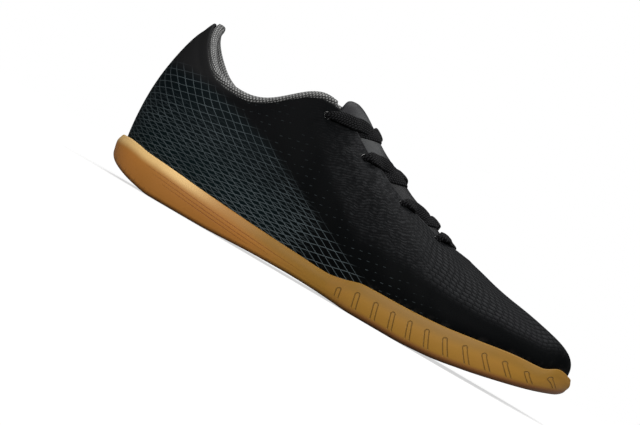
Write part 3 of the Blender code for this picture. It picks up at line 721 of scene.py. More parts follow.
def gum_look():
    """Gum rubber: yellow tan lip, orange tan wall, red-brown underside, incised slots; a painted highlight
    on the heel's lip and painted shade on the front lip, the wall's lower edge, the underside and in the
    grooves.
    """
    look = Look("gum_rubber", (0.400, 0.190, 0.044), 0.42, 0.22)
    tree = look.tree
    x, y, z = place(tree)
    slot, above = layer(tree, "slots")
    base, from_rim = layer(tree, "heights")
    patch = noise(tree, 60.0, 3.0)
    fine = noise(tree, 1500.0, 3.0)
    heel = x.ramp(10.0, -60.0)
    look.paint((0.46, 0.170, 0.030), heel * from_rim.ramp(2.5, 8.0) * 0.75)
    look.paint((0.312, 0.155, 0.018), (1.0 - heel) * 0.88)
    shaded = x.ramp(-30.0, -80.0) * x.ramp(-134.0, -110.0)
    look.paint((0.250, 0.105, 0.016), heel * from_rim.ramp(3.0, 8.0) * shaded * 0.40)
    # The heel's lip is a lighter yellow tan, brightened further by a painted highlight.
    look.paint((0.82, 0.54, 0.220), from_rim.ramp(6.5, 2.0) * x.ramp(-62.0, -100.0) * 0.90)
    # Painted shade darkens the lip from the middle of the shoe forward.
    look.paint((0.190, 0.100, 0.012), from_rim.ramp(8.0, 3.0) * x.ramp(-70.0, -30.0) * 0.60)
    # Painted shade: the lower edge of the forefoot's wall, where it turns under, is a darker red-brown.
    look.paint((0.150, 0.050, 0.018), base.ramp(4.4, 1.8) * x.ramp(-10.0, 40.0) * 0.80)
    look.paint((0.34, 0.150, 0.040), patch.ramp(0.5, 0.8) * 0.20)

    # The outlines of the slots: sunk grooves, painted darker as shade.
    beside = ((slot + 0.5).fract() - 0.5) * 10.9
    over = above.most(0.0)
    ring = ((beside * beside + over * over).power(0.5) - 1.25).abs()
    span = slot.ramp(-0.49, -0.45) * slot.ramp(11.49, 11.45)
    wall_share = base.ramp(3.2, 3.9) * above.ramp(-10.8, -10.2)
    groove = ring.ramp(0.42, 0.12) * span * wall_share
    # A curved line round the toe and long fine lines at the heel and the middle.
    toe_line = (above + 3.4).abs().ramp(0.40, 0.10) * slot.ramp(11.42, 11.48)
    lines = None
    for drop, first, last in ((6.6, -118.0, -8.0), (8.6, -112.0, -30.0), (10.4, -104.0, -44.0)):
        middle, half = (first + last) / 2, (last - first) / 2
        taper = 1.0 - ((x - middle) / half).power(2.0).least(1.0)
        thin = (from_rim - drop - (x - middle) * 0.006).abs() / (taper * 0.30 + 0.001)
        line = thin.ramp(1.0, 0.4) * taper.ramp(0.0, 0.1)
        lines = line if lines is None else lines.most(line)
    ticks = ((x + y * 0.35) / 3.4).wave().ramp(0.86, 0.94)
    ticks = ticks * x.ramp(-104.0, -110.0) * base.ramp(0.6, 1.2) * base.ramp(3.6, 2.8)
    # Painted shade: the sunk outlines, toe line, fine lines and ticks are painted darker.
    look.paint((0.130, 0.066, 0.012), groove.most(toe_line) * 0.80)
    look.paint((0.22, 0.065, 0.018), lines * 0.65)
    look.paint((0.18, 0.075, 0.022), ticks * 0.35)

    # The cup's floor is covered with black board.
    floor = upness(tree).ramp(0.55, 0.80) * from_rim.ramp(2.0, 3.0) * base.ramp(2.0, 4.0)
    look.paint((0.010, 0.010, 0.011), floor)

    # The tread: fine staggered bars between the flex grooves. The underside and the sunk bars are darker:
    # painted shade.
    under = base.ramp(0.35, 0.05)
    bars = (x / 4.2 + (y * 0.18).sin() * 0.5).wave().ramp(0.72, 0.86)
    cross = (y / 9.0 + (x / 4.2).floor() * 0.5).wave().ramp(0.86, 0.94)
    tread = bars.most(cross) * under
    # Painted shade on the underside and in the sunk bars.
    look.paint((0.090, 0.036, 0.020), under * 0.70)
    look.paint((0.030, 0.016, 0.012), tread * 0.6)
    dirt = noise(tree, 220.0, 5.0, 0.65).ramp(0.55, 0.72)
    look.paint((0.10, 0.062, 0.035), dirt * (under * 0.3 + base.ramp(5.0, 0.0) * 0.25))
    look.rough(0.40 + patch * 0.10 + fine * 0.04 + under * 0.18)
    look.relief(
        0.0 - groove * 0.34 - toe_line * 0.25 - lines * 0.10 - ticks * 0.10 - tread * 0.5
        + fine * 0.020 + patch * 0.06
    )
    return look.material


def knit_look(name, colour, dark, pitch, depth):
    """A knit of small round stitches in staggered rows."""
    look = Look(name, colour, 0.88, 0.20)
    tree = look.tree
    along, around = layer(tree, "stitches")
    wander = noise(tree, 120.0, 2.0) - 0.5
    rows = around / pitch + wander * 0.25
    column = (along / pitch + rows.floor() * 0.5).fract() * 2.0 - 1.0
    row = rows.fract() * 2.0 - 1.0
    far = (column * column + row * row * 0.8).power(0.5)
    thread = far.ramp(0.90, 0.40)
    fuzz = noise(tree, 3000.0, 3.0)
    look.paint(dark, (1.0 - thread) * 0.92)
    look.paint(dark, noise(tree, 260.0, 2.0).ramp(0.45, 0.75) * 0.35)
    look.relief(thread * depth + fuzz * 0.05)
    look.shader.inputs["Sheen Weight"].default_value = 0.15
    look.shader.inputs["Sheen Roughness"].default_value = 0.5
    return look.material


def satin_look():
    """The tongue's smooth close cloth, with a black bound edge."""
    look = Look("tongue_satin", (0.0150, 0.0150, 0.0165), 0.46, 0.14)
    tree = look.tree
    along, across = layer(tree, "stitches")
    edge, _ = layer(tree, "edge")
    warp = ((along * 6.283 / 0.55).sin() * (across * 6.283 / 0.55).sin()) * 0.5 + 0.5
    x, _, _ = place(tree)
    # A painted highlight on the satin between about x -38 and -2 mm.
    look.paint((0.052, 0.054, 0.055), x.ramp(-38.0, -24.0) * x.ramp(-2.0, -14.0) * 0.9)
    # Painted shade: the satin is darker from about x -2 mm forward.
    look.paint((0.0035, 0.0035, 0.0040), x.ramp(-12.0, -2.0) * 0.95)
    look.paint((0.012, 0.012, 0.013), warp * 0.35)
    look.paint((0.006, 0.006, 0.007), edge.ramp(1.5, 1.1))
    look.relief(warp * 0.03 + edge.ramp(1.6, 0.9) * 0.25 + noise(tree, 160.0, 3.0) * 0.18)
    look.rough(0.42 + warp * 0.06)
    return look.material


def lace_look():
    """Black braid: small slanting stitches that meet along the middle, with painted highlights on their
    crowns.
    """
    look = Look("black_braid", (0.0005, 0.0005, 0.0007), 0.66, 0.035)
    tree = look.tree
    along, across = layer(tree, "stitches")
    weave = ((along + across.abs() * 0.8) / 1.6).wave()
    bead = (1.0 - weave.power(2.0)) * (1.0 - (across / 1.3).wave().power(3.0))
    # A painted highlight on the crown of each stitch.
    look.paint((0.0185, 0.0185, 0.0200), bead.power(3.0) * 0.9)
    look.relief(bead * 0.42 + noise(tree, 2500.0, 2.0) * 0.05)
    look.shader.inputs["Sheen Weight"].default_value = 0.02
    return look.material


def plain_look(name, colour, roughness):
    look = Look(name, colour, roughness, 0.3)
    look.relief(noise(look.tree, 1800.0, 2.0) * 0.05)
    return look.material


# The pieces.


def eyelet(share, sign):
    u = sign * station_at(share * SHOE_LENGTH, "edge")
    t = place_along_wall(u, EYELET_INSET)
    return wall(u, t), wall_normal(u, t)


def soft_shape(u, t, point):
    """How far the upper's face stands off the CAD wall: pulls at the eyelets, soft creases."""
    x = point[..., 0]
    rise = np.zeros(x.shape)
    for sign in (1, -1):
        for number, share in enumerate(EYELETS):
            hole, _ = eyelet(share, sign)
            away = point - hole
            far = np.linalg.norm(away, axis=-1)
            rise -= 0.00055 * hill(far, 0.0052)
            turn = np.arctan2(away[..., 2], away[..., 0])
            pull = hill(far - 0.010, 0.007) * (t > 0.02)
            rise += 0.00022 * pull * np.cos(5 * turn + 0.9 * number)
    # Soft flex creases over the ball of the foot: rounded troughs that cross the vamp.
    side = np.sin(np.pi * np.clip(t, 0, 1)) ** 0.7
    for middle, slant, width, depth in (
        (0.066, 0.35, 0.0050, 0.00045),
        (0.049, 0.28, 0.0045, 0.00050),
        (0.033, 0.20, 0.0050, 0.00030),
    ):
        line = x - middle + slant * (point[..., 2] - 0.045)
        rise -= depth * side * hill(line, width)
        rise += 0.6 * depth * side * hill(line - 1.7 * width, width)
    # Slow unevenness of cloth over the last.
    rise += 0.00016 * np.sin(x * 210 + 3 * t) * np.sin(7 * t + x * 60) * side
    # The heel counter's lower edge and a dip under the collar's seam.
    back = smooth_between(-0.060, -0.090, x)
    rise -= 0.00025 * back * hill(t - 0.90, 0.035)
    return rise


def make_upper():
    count, face_rows, inner_rows = 640, 92, 16
    us = ring_stations(count)
    speed = np.linalg.norm(wall(us, 1.0) - wall(us, 0.99), axis=-1) / 0.01
    top = 1 - (UPPER_WALL / 2) / speed
    ts = np.linspace(0, 1, face_rows)[None, :] * top[:, None]
    grid_u = np.repeat(us[:, None], face_rows, axis=1)
    face = wall(grid_u, ts)
    shaped = face + wall_normal(grid_u, ts) * soft_shape(grid_u, ts, face)[..., None]
    end = wall_normal(us, top)
    onward = unit(wall(us, top) - wall(us, top - 0.01))
    centre = shaped[:, -1] - end * UPPER_WALL / 2
    fold = []
    for angle in np.linspace(0, np.pi, 7)[1:-1]:
        fold.append(centre + (end * np.cos(angle) + onward * np.sin(angle)) * UPPER_WALL / 2)
    inner_t = np.linspace(1, 0, inner_rows)[None, :] * top[:, None]
    inner_u = np.repeat(us[:, None], inner_rows, axis=1)
    inner = wall(inner_u, inner_t) - wall_normal(inner_u, inner_t) * UPPER_WALL
    inner[:, 0] = shaped[:, -1] - end * UPPER_WALL
    foot, _ = foot_line(us)
    low = cup_floor_height(foot[:, 0]) + GAP
    outer_low = np.column_stack([foot, low])
    inner_low = np.column_stack([inner[:, -1, :2], low])
    parts = (outer_low[:, None], shaped, np.stack(fold, axis=1), inner, inner_low[:, None])
    ring = np.concatenate(parts, axis=1)
    columns = ring.shape[1]

    def layer_of(places, first, values):
        """A layer that holds a place round the shoe, and a value up its wall.

        Round the fold and down the inside, the face's last value is held.
        """
        held = np.repeat(values[:, -1:], columns - face_rows - 1, axis=1)
        values = np.concatenate([np.full((count, 1), first), values, held], axis=1)
        values = np.vstack([values, values[:1]])
        values = np.concatenate([values, values[:, :1]], axis=1)
        return np.stack([np.repeat(places[:, None], columns + 1, axis=1), values], axis=-1)

    along = np.append(unrolled(us), unrolled(us[:1]))
    plan = wall(us, 0.3)[:, :2]
    walked = walked_along(np.vstack([plan, plan[:1]])) * 1000
    walked -= walked[-1] / 2
    layers = {
        "pattern": layer_of(along, 0.0, ts),
        "girth": layer_of(walked, -3.0, walked_across(face)),
    }
    materials = [
        upper_look(),
        # The pale walls of the punched holes are a painted glint.
        plain_look("hole_wall_painted_glint", (0.62, 0.62, 0.60), 0.6),
        plain_look("inner_cloth", (0.012, 0.012, 0.013), 0.85),
    ]
    upper = mesh_of("upper_shell", [(ring, True, True, layers)], materials)
    cut(upper, [punch(*eyelet(share, sign)) for sign in (1, -1) for share in EYELETS])
    paint_holes(upper)
    return upper


def punch(hole, normal):
    """A cutter that widens towards the outer face, so that the cut edge, painted pale as a glint, shows as
    a ring.
    """
    turns = np.linspace(0, 2 * np.pi, 36, endpoint=False)
    rings = []
    shape = ((0.0, -0.006), (1.0, -0.006), (1.0, -0.0006), (1.3, 0.0004), (1.3, 0.003), (0.0, 0.003))
    for radius, height in shape:
        reach = max(radius * EYELET_RADIUS, 1e-5)
        rings.append(np.column_stack([np.cos(turns) * reach, np.sin(turns) * reach, np.full(36, height)]))
    cutter = solid_tube("punch", np.array(rings), [], {})
    turn = Vector(normal).to_track_quat("Z", "Y").to_matrix().to_4x4()
    cutter.data.transform(Matrix.Translation(Vector(hole)) @ turn)
    return cutter


def paint_holes(upper):
    """Gives the walls of the punched holes the pale material, a painted glint, and the inside its cloth."""
    mesh = upper.data

    def column(name):
        values = np.empty(len(mesh.polygons) * 3)
        mesh.polygons.foreach_get(name, values)
        return values.reshape(-1, 3)

    centres, normals = column("center"), column("normal")
    kinds = np.zeros(len(mesh.polygons), dtype=np.int32)
    # The inside is what faces a line along the middle of the shoe.
    core = np.zeros(centres.shape) + (0.0, 0.0, CORE_HEIGHT)
    core[:, 0] = np.clip(centres[:, 0], -CORE_END, CORE_END)
    kinds[((centres - core) * normals).sum(axis=1) < 0] = 2
    for sign in (1, -1):
        for share in EYELETS:
            hole, axis = eyelet(share, sign)
            away = centres - hole
            depth = away @ axis
            far = np.linalg.norm(away - depth[:, None] * axis, axis=1)
            near = (far < EYELET_RADIUS * 1.33) & (np.abs(depth) < 0.004)
            kinds[near & (np.abs(normals @ axis) < 0.86)] = 1
    mesh.polygons.foreach_set("material_index", kinds)
    mesh.update()


def make_outsole():
    count = 560
    us = ring_stations(count)
    pairs = us[: count // 2 + 1]
    out = GAP + RIM_WALL
    bevel, bevel_high, swell = 0.0050, 0.0030, 0.0009
    cup_round, rim_round = 0.0007, 0.0010
    # From the cup's floor over the rim and down the side: how far outward, which height, and its value.
    profile = [(CUP_CLEARANCE, "cup", 0.0), (CUP_CLEARANCE, "top", -0.0012)]
    for angle in np.linspace(0, np.pi / 2, 4):
        drop = cup_round * (1 - np.sin(angle))
        profile.append((CUP_CLEARANCE + cup_round * (1 - np.cos(angle)), "top", -drop))
    for angle in np.linspace(0, np.pi / 2, 6):
        drop = rim_round * (1 - np.cos(angle))
        profile.append((out - rim_round * (1 - np.sin(angle)), "top", -drop))
    for share in np.linspace(0, 1, 22)[1:-1]:
        profile.append((out + swell * np.sin(np.pi * share) ** 0.8, "side", share))
    for angle in np.linspace(0, np.pi / 2, 9):
        profile.append((out - bevel * (1 - np.cos(angle)), "low", bevel_high * (1 - np.sin(angle))))
    rings, heights = [], []
    for outward, kind, value in profile:
        plan, _ = foot_line(us, np.full(count, outward))
        x = plan[:, 0]
        top, base = rim_height(x), underside_height(x)
        z = {
            "cup": cup_floor_height(x),
            "top": top + value,
            "side": (top - rim_round) * (1 - value) + (base + bevel_high) * value,
            "low": base + value,
        }[kind]
        rings.append(np.column_stack([plan, z]))
        heights.append(np.column_stack([(z - base) * 1000, (top - z) * 1000]))
    grid, high = np.stack(rings, axis=1), np.stack(heights, axis=1)

    # Each point's place among the slots, which lean forward, and its height above their round ends.
    x_mm = grid[..., 0] * 1000
    above = 6.5 - high[..., 1]
    lean = np.interp(x_mm, (12, 30, 55, 75, 97, 121, 134), (0.15, 0.25, 0.32, 0.50, 0.72, 0.95, 1.10))
    slot_x = np.array(SLOTS) * SHOE_LENGTH * 1000
    axis_x = x_mm + np.clip(above, -11, 0) * lean
    number = np.interp(axis_x, slot_x, np.arange(len(slot_x)))
    number += np.clip(slot_x[0] - axis_x, 0, None) * -0.1 + np.clip(axis_x - slot_x[-1], 0, None) * 0.1
    layers = {"slots": np.stack([number, above], axis=-1), "heights": high}
    layers = {key: np.concatenate([values, values[:1]]) for key, values in layers.items()}
    patches = [(grid, True, False, layers)]
    under = sheet(pairs, out - bevel, 25, underside_height)
    cup = sheet(pairs, CUP_CLEARANCE, 9, cup_floor_height)
    for flat, height in ((under, (0.0, 20.0)), (cup, (6.0, 4.0))):
        blank = np.zeros((*flat.shape[:2], 2))
        patches.append((flat, False, False, {"slots": blank - 3.0, "heights": blank + height}))
    sole = mesh_of("gum_outsole", patches, [gum_look()])
    cutters = []
    for share, slant in FLEX_GROOVES:
        x = share * SHOE_LENGTH
        lateral, medial = (foot_line(u)[0][1] for u in (station_at(x), 2 * HALF - station_at(x)))
        slope = math.atan2(underside_height(x + 0.002) - underside_height(x - 0.002), 0.004)
        bpy.ops.mesh.primitive_cube_add(
            size=1, location=(x, (lateral + medial) / 2, underside_height(x)), rotation=(0.0, -slope, slant)
        )
        box = bpy.context.object
        box.scale = (GROOVE_WIDTH, (medial - lateral) * GROOVE_REACH, 2 * TREAD_DEPTH)
        cutters.append(box)
    cut(sole, cutters)
    sole.data.set_sharp_from_angle(angle=math.radians(40))
    return sole


def sheet(pairs, outward, columns, height):
    outer, _ = foot_line(pairs, np.full(len(pairs), outward))
    inner, _ = foot_line(2 * HALF - pairs, np.full(len(pairs), outward))
    shares = np.linspace(0, 1, columns)[None, :, None]
    plan = outer[:, None, :] * (1 - shares) + inner[:, None, :] * shares
    return np.concatenate([plan, height(plan[..., 0])[..., None]], axis=-1)


def make_insole():
    count, columns = 300, 31
    pairs = ring_stations(count)[: count // 2 + 1]
    inset = UPPER_WALL + 3 * GAP
    low = sheet(pairs, -inset, columns, lambda x: cup_floor_height(x) + 1.5 * GAP)
    top = low + UP * INSOLE_THICKNESS
    shares, run = np.linspace(0, 1, columns), np.linspace(0, 1, len(pairs))
    span = np.linalg.norm(top[:, -1, :2] - top[:, 0, :2], axis=1)
    ends = np.minimum(run, 1 - run) * SHOE_LENGTH
    edge = np.minimum(np.minimum(shares, 1 - shares)[None, :] * span[:, None], ends[:, None])
    top[..., 2] -= 0.0012 * np.exp(-edge / 0.0022)
    # Slight dishes under the heel and the ball of the foot.
    for middle, depth, long, wide in ((-0.098, 0.0007, 0.030, 0.022), (0.055, 0.0005, 0.035, 0.032)):
        top[..., 2] -= depth * hill(top[..., 0] - middle, long) * hill(top[..., 1], wide)
    layers = {"stitches": top[..., :2] * 1000}
    rim = np.stack([np.concatenate([face[:, 0], face[-2:0:-1, -1]]) for face in (top, low)], axis=1)
    flat = {"stitches": np.zeros((len(rim) + 1, 2, 2))}
    patches = [(top, False, False, layers), (low, False, False, layers), (rim, True, False, flat)]
    cloth = knit_look("insole_knit", (0.060, 0.060, 0.064), (0.018, 0.018, 0.020), 1.0, 0.10)
    return mesh_of("insole_cloth", patches, [cloth])


def make_tongue():
    rows, laps, across = 150, 8, 41
    pairs = pair_stations(0.06, TONGUE_TOP_ROW, rows)
    depth = UPPER_WALL + TONGUE_CLEARANCE
    lap = np.linspace(TONGUE_LAP, 1.0, laps)[:-1]
    shares = np.linspace(0, 1, across)
    span = np.abs(2 * shares - 1)
    top_x = tongue_top(pairs[-1:], np.array([0.5]))[0, 0]
    grid = []
    for u in pairs:
        left, right = (wall(side, lap) - wall_normal(side, lap) * depth for side in (u, -u))
        middle = tongue_top(np.full(across, u), shares)
        # Toward its top end the arch is squarer.
        away = abs(middle[across // 2, 0] - top_x)
        squarer = span**2 - span ** (2.0 + 2.0 * np.exp(-away / 0.012))
        middle[:, 2] += crown(middle[:, 0]) * squarer
        grid.append(np.concatenate([left, middle, right[::-1]]))
    outer = np.array(grid)
    normal = np.cross(np.gradient(outer, axis=0), np.gradient(outer, axis=1))
    normal /= np.linalg.norm(normal, axis=-1, keepdims=True) + 1e-12
    if normal[rows // 2, outer.shape[1] // 2, 2] < 0:
        normal = -normal
    width = outer.shape[1]
    # The top end rounds over, and the cloth swells a little between the laces.
    x = outer[..., 0]
    ends = (np.arange(rows)[::-1] / (rows - 1))[:, None] * 0.130
    pad = TONGUE_THICKNESS * (1 - 0.45 * np.exp(-(ends / 0.0022)))
    swell = 0.0003 * np.sin(x * 2 * np.pi / 0.026 + 0.8) * smooth_between(0.055, 0.040, x)
    middle_share = np.clip(1 - np.abs(np.arange(width) - (width - 1) / 2) / (width / 2), 0, 1)[None, :]
    lift = swell * middle_share - 0.0008 * np.exp(-(ends / 0.0016))
    outer = outer + normal * lift[..., None]
    lower = outer - normal * pad[..., None]
    lengths = walked_along(outer[:, width // 2]) * 1000
    along = np.repeat(lengths[:, None], width, axis=1)
    edge = np.minimum(lengths[-1] - along, 20.0)
    layers = {
        "stitches": np.stack([along, walked_across(outer)], axis=-1),
        "edge": np.stack([edge, edge], axis=-1),
    }
    patches = [(outer, False, False, layers), (lower, False, False, layers)]
    for side in (np.s_[0], np.s_[-1], np.s_[:, 0], np.s_[:, -1]):
        rim = np.stack([outer[side], (outer[side] + lower[side]) / 2, lower[side]])
        blank = np.zeros((*rim.shape[:2], 2))
        patches.append((rim, False, False, {"stitches": blank, "edge": blank}))
    return mesh_of("tongue_pad", patches, [satin_look()])


def make_lining():
    count, columns = 260, 64
    table = np.array(PAD_SECTIONS)
    half = np.linspace(table[0, 0], table[-1, 0], count // 2)
    parts = [eased(table[:, 0], column, half) for column in table.T[1:]]
    u_half = pair_stations(table[0, 0], table[-1, 0], count // 2)
    us = np.concatenate([u_half, 2 * HALF - u_half[-2::-1]])
    shares = [np.concatenate([column, column[-2::-1]]) for column in parts]
    seat = UPPER_WALL + PAD_CLEARANCE
    rings = []
    for u, thick_share, roll_share, depth_share, top_share in zip(us, *shares):
        pad, rise, depth = HEEL_PAD * thick_share, COLLAR_ROLL * roll_share, PAD_DEPTH * depth_share
        top = pad * top_share
        low = place_along_wall(u, depth)
        middle = place_along_wall(u, depth * 0.45)
        high = place_along_wall(u, min(pad, depth * 0.25))
        edge = wall(u, 1.0)
        inward = unit(-wall_normal(u, 1.0) * (1.0, 1.0, 0.0))
        against = np.linspace(low, 1.0, 14)[:-1]
        knots = np.array([
            *(wall(u, against) - wall_normal(u, against) * seat),
            edge + inward * seat - UP * 0.0004,
            edge + inward * (seat - 0.0012 * roll_share) + UP * (PAD_CLEARANCE + rise * 0.30),
            edge + inward * (seat + top * 0.15) + UP * (PAD_CLEARANCE + rise * 0.85),
            edge + inward * (seat + top * 0.45) + UP * (PAD_CLEARANCE + rise),
            edge + inward * (seat + top * 0.85) + UP * (PAD_CLEARANCE + rise * 0.55),
            wall(u, high) - wall_normal(u, high) * (seat + (pad + top) / 2),
            wall(u, middle) - wall_normal(u, middle) * (seat + pad * 0.9 + (pad - top) * 0.15),
            wall(u, low) - wall_normal(u, low) * (seat + 0.0012),
        ])
        gaps = np.linalg.norm(np.roll(knots, -1, axis=0) - knots, axis=1)
        curve = Loop(walked_along(knots), knots, gaps.sum())
        rings.append(curve.at(np.linspace(0, gaps.sum(), columns, endpoint=False)))
    grid = np.array(rings)
    lengths = walked_along(wall(us, 1.0)) * 1000
    around = walked_across(np.concatenate([grid, grid[:, :1]], axis=1))
    layers = {"stitches": np.stack([np.repeat(lengths[:, None], columns + 1, axis=1), around], axis=-1)}
    knit = knit_look("grey_knit", (0.310, 0.310, 0.302), (0.012, 0.012, 0.013), 1.75, 0.50)
    return solid_tube("collar_knit", grid, [knit], layers)


def smooth_path(points, normals, count):
    """The points joined by an even, smooth line, with a unit normal at each place."""
    marks = walked_along(points)
    places = np.linspace(0, marks[-1], count)
    line = np.stack([eased(marks, points[:, i], places) for i in range(3)], axis=-1)
    for _ in range(3):
        line[1:-1] = (line[:-2] + 2 * line[1:-1] + line[2:]) / 4
    facing = np.stack([eased(marks, normals[:, i], places) for i in range(3)], axis=-1)
    return line, unit(facing), places


def lace(name, strand, material):
    """A flat braid along a strand: a list of points, normals and widths as shares."""
    count, sides = 120, 28
    points, normals, squeeze = (np.array(column) for column in zip(*strand))
    line, facing, places = smooth_path(points, unit(normals), count)
    width = eased(walked_along(points), squeeze, places) * LACE_WIDTH / 2
    along = unit(np.gradient(line, axis=0))
    across = unit(np.cross(facing, along))
    up = np.cross(along, across)
    turns = np.linspace(0, 2 * np.pi, sides, endpoint=False)
    thick = LACE_THICKNESS / 2 * (1 + 0.35 * (1 - width / (LACE_WIDTH / 2)))
    wide = np.sign(np.cos(turns)) * np.abs(np.cos(turns)) ** 0.75
    tall = np.sign(np.sin(turns)) * np.abs(np.sin(turns)) ** 0.80
    grid = line[:, None] + across[:, None] * (width[:, None] * wide)[..., None]
    grid = grid + up[:, None] * (thick[:, None] * tall)[..., None]
    wide = np.append(wide, wide[:1])
    run = np.repeat(places[:, None] * 1000, sides + 1, axis=1)
    layers = {"stitches": np.stack([run, width[:, None] * 1000 * wide], axis=-1)}
    return solid_tube(name, grid, [material], layers)


def above_tongue(us, sign, share, rest):
    """Points that stand a distance above the tongue. share runs from the side that sign names."""
    side = np.full(len(us), share if sign > 0 else 1 - share)
    middle = tongue_top(us, side)
    ahead = tongue_top(us - 0.001, side)
    beside = tongue_top(us, side + 0.01)
    normal = np.cross(beside - middle, ahead - middle)
    normal *= (np.sign(normal[:, 2]) / np.linalg.norm(normal, axis=1))[:, None]
    return middle + normal * rest, normal


def line_of_strand(start, rise, u_from, u_to, sign, rest):
    """How far toward the next eyelet a strand that climbs evenly from the start has come, at each share."""
    steps = np.linspace(0.0, 1.5, 31)
    us = u_from + (u_to - u_from) * steps
    ways = []
    for share in LINE_SHARES:
        points, _ = above_tongue(us, sign, share, rest)
        gap = points[:, 2] - start[2] - rise * (points[:, 0] - start[0])
        ways.append(float(np.interp(0.0, -gap, steps)))
    return np.array(ways)


def over_throat(u, sign, share, rest):
    """Where a strand lies: above the edge of the throat first, then pressed into the tongue."""
    way_in = np.clip(share / 0.3, 0, 1)
    height = rest + UPPER_WALL * (1 - way_in**1.5) - LACE_SINK * way_in
    point, normal = above_tongue(np.array([u]), sign, share, height)
    return point[0], normal[0]


def out_of_eyelet(sign, u_from, u_edge, rest, lean):
    """The first points of a strand: up through its eyelet and over the edge of the throat."""
    t_hole = place_along_wall(u_from, EYELET_INSET)
    hole, out_of = wall(sign * u_from, t_hole), wall_normal(sign * u_from, t_hole)
    edge, edge_normal = wall(sign * u_edge, 1.0), wall_normal(sign * u_edge, 1.0)
    toward = unit(edge - hole)
    u_near = (u_from + u_edge) / 2
    t_near = place_along_wall(u_near, EYELET_INSET * 0.5)
    near, near_normal = wall(sign * u_near, t_near), wall_normal(sign * u_near, t_near)
    return [
        (hole - out_of * 0.0042 - toward * 0.0006, out_of * 0.2 - toward, 0.40),
        (hole - out_of * 0.0014 - toward * 0.0004, out_of * 0.3 - toward, 0.42),
        (hole + out_of * 0.0010 + toward * 0.0010, out_of - toward * 0.6, 0.55),
        (near + near_normal * (rest + 0.0004), near_normal, 0.95),
        (edge + edge_normal * rest, edge_normal + np.array([0.0, -sign * lean, 0.0]), 1.0),
    ]


def lace_points(number, sign, rest):
    """A strand from the top side of an eyelet to under the other edge, ahead of the next one."""
    u_from, u_to = (station_at(EYELETS[i] * SHOE_LENGTH, "edge") for i in (number, number + 1))
    way_to_u = u_to - u_from
    way_out = LACE_END if sign < 0 else LACE_FAR_END
    u_end = u_from + way_to_u * way_out
    hole = wall(sign * u_from, place_along_wall(u_from, EYELET_INSET))
    first = line_of_strand(hole, LACE_RISES[number], u_from, u_to, sign, rest)
    if sign > 0:
        last = way_out + (first[-1] - way_out) * (np.array(LINE_SHARES) / LINE_SHARES[-1])
    else:
        end = wall(-sign * u_end, 1.0)
        last = line_of_strand(end, LACE_END_RISE, u_from, u_to, -sign, rest)
        first = first * last[-1] / first[-1]
    aside = np.array([0.0, -sign, 0.0])
    strand = out_of_eyelet(sign, u_from, u_from + way_to_u * first[0] * 0.8, rest, 0.3)
    for share, way in zip(LINE_SHARES, first):
        point, normal = over_throat(u_from + way_to_u * way, sign, share, rest)
        strand.append((point, normal + aside * 0.5 * (1 - share / 0.5), 1.0))
    for share, way in zip(LINE_SHARES[-2::-1], last[-2::-1]):
        lift = LACE_THICKNESS * 0.9 * hill(share - 0.30, 0.12) if sign > 0 else 0.0
        u = np.array([u_from + way_to_u * way])
        point, normal = above_tongue(u, -sign, share, rest + lift - 0.0012)
        strand.append((point[0], normal[0] - aside * 0.4 * (1 - share / 0.5), 1.0))
    for down, depth in ((0.0030, 0.0010), (EYELET_INSET, 0.0014)):
        t = place_along_wall(u_end, down)
        normal = wall_normal(-sign * u_end, t)
        strand.append((wall(-sign * u_end, t) - normal * (UPPER_WALL + depth), normal, 0.85))
    return strand


def bar_points(rest):
    """The front bar, from one eyelet of the last pair to the other."""
    u_from, u_behind = (station_at(EYELETS[i] * SHOE_LENGTH, "edge") for i in (-1, -2))
    u_tip = max(u_from - 0.4 * (u_behind - u_from), 0.0)
    halves = []
    for sign in (1, -1):
        hole = wall(sign * u_from, place_along_wall(u_from, EYELET_INSET))
        ways = line_of_strand(hole, LACE_RISES[-1], u_from, u_tip, sign, rest)
        half = out_of_eyelet(sign, u_from, u_from + (u_tip - u_from) * ways[0] * 0.8, rest, 0.0)
        for share, way in zip(LINE_SHARES, ways):
            half.append((*over_throat(u_from + (u_tip - u_from) * way, sign, share, rest), 1.0))
        halves.append(half)
    return halves[0] + halves[1][-2::-1]


def make_laces():
    material = lace_look()
    rest = GAP + LACE_THICKNESS / 2
    strands = []
    for number in range(len(EYELETS) - 1):
        strands.append(lace(f"strand_inner_{number}", lace_points(number, -1, rest), material))
        strands.append(lace(f"strand_outer_{number}", lace_points(number, 1, rest), material))
    strands.append(lace("strand_bar", bar_points(rest), material))
    laces = joined(strands, strands[-1])
    laces.name = "lace_braid"
    return laces


def light(name, location, target, size, power, colour=(1, 1, 1)):
    data = bpy.data.lights.new(name, "AREA")
    data.shape = "RECTANGLE"
    data.size, data.size_y = size
    data.energy = power
    data.color = colour
    made = bpy.data.objects.new(name, data)
    bpy.context.scene.collection.objects.link(made)
    made.location = location
    made.rotation_euler = (Vector(target) - Vector(location)).to_track_quat("-Z", "Y").to_euler()
    return made


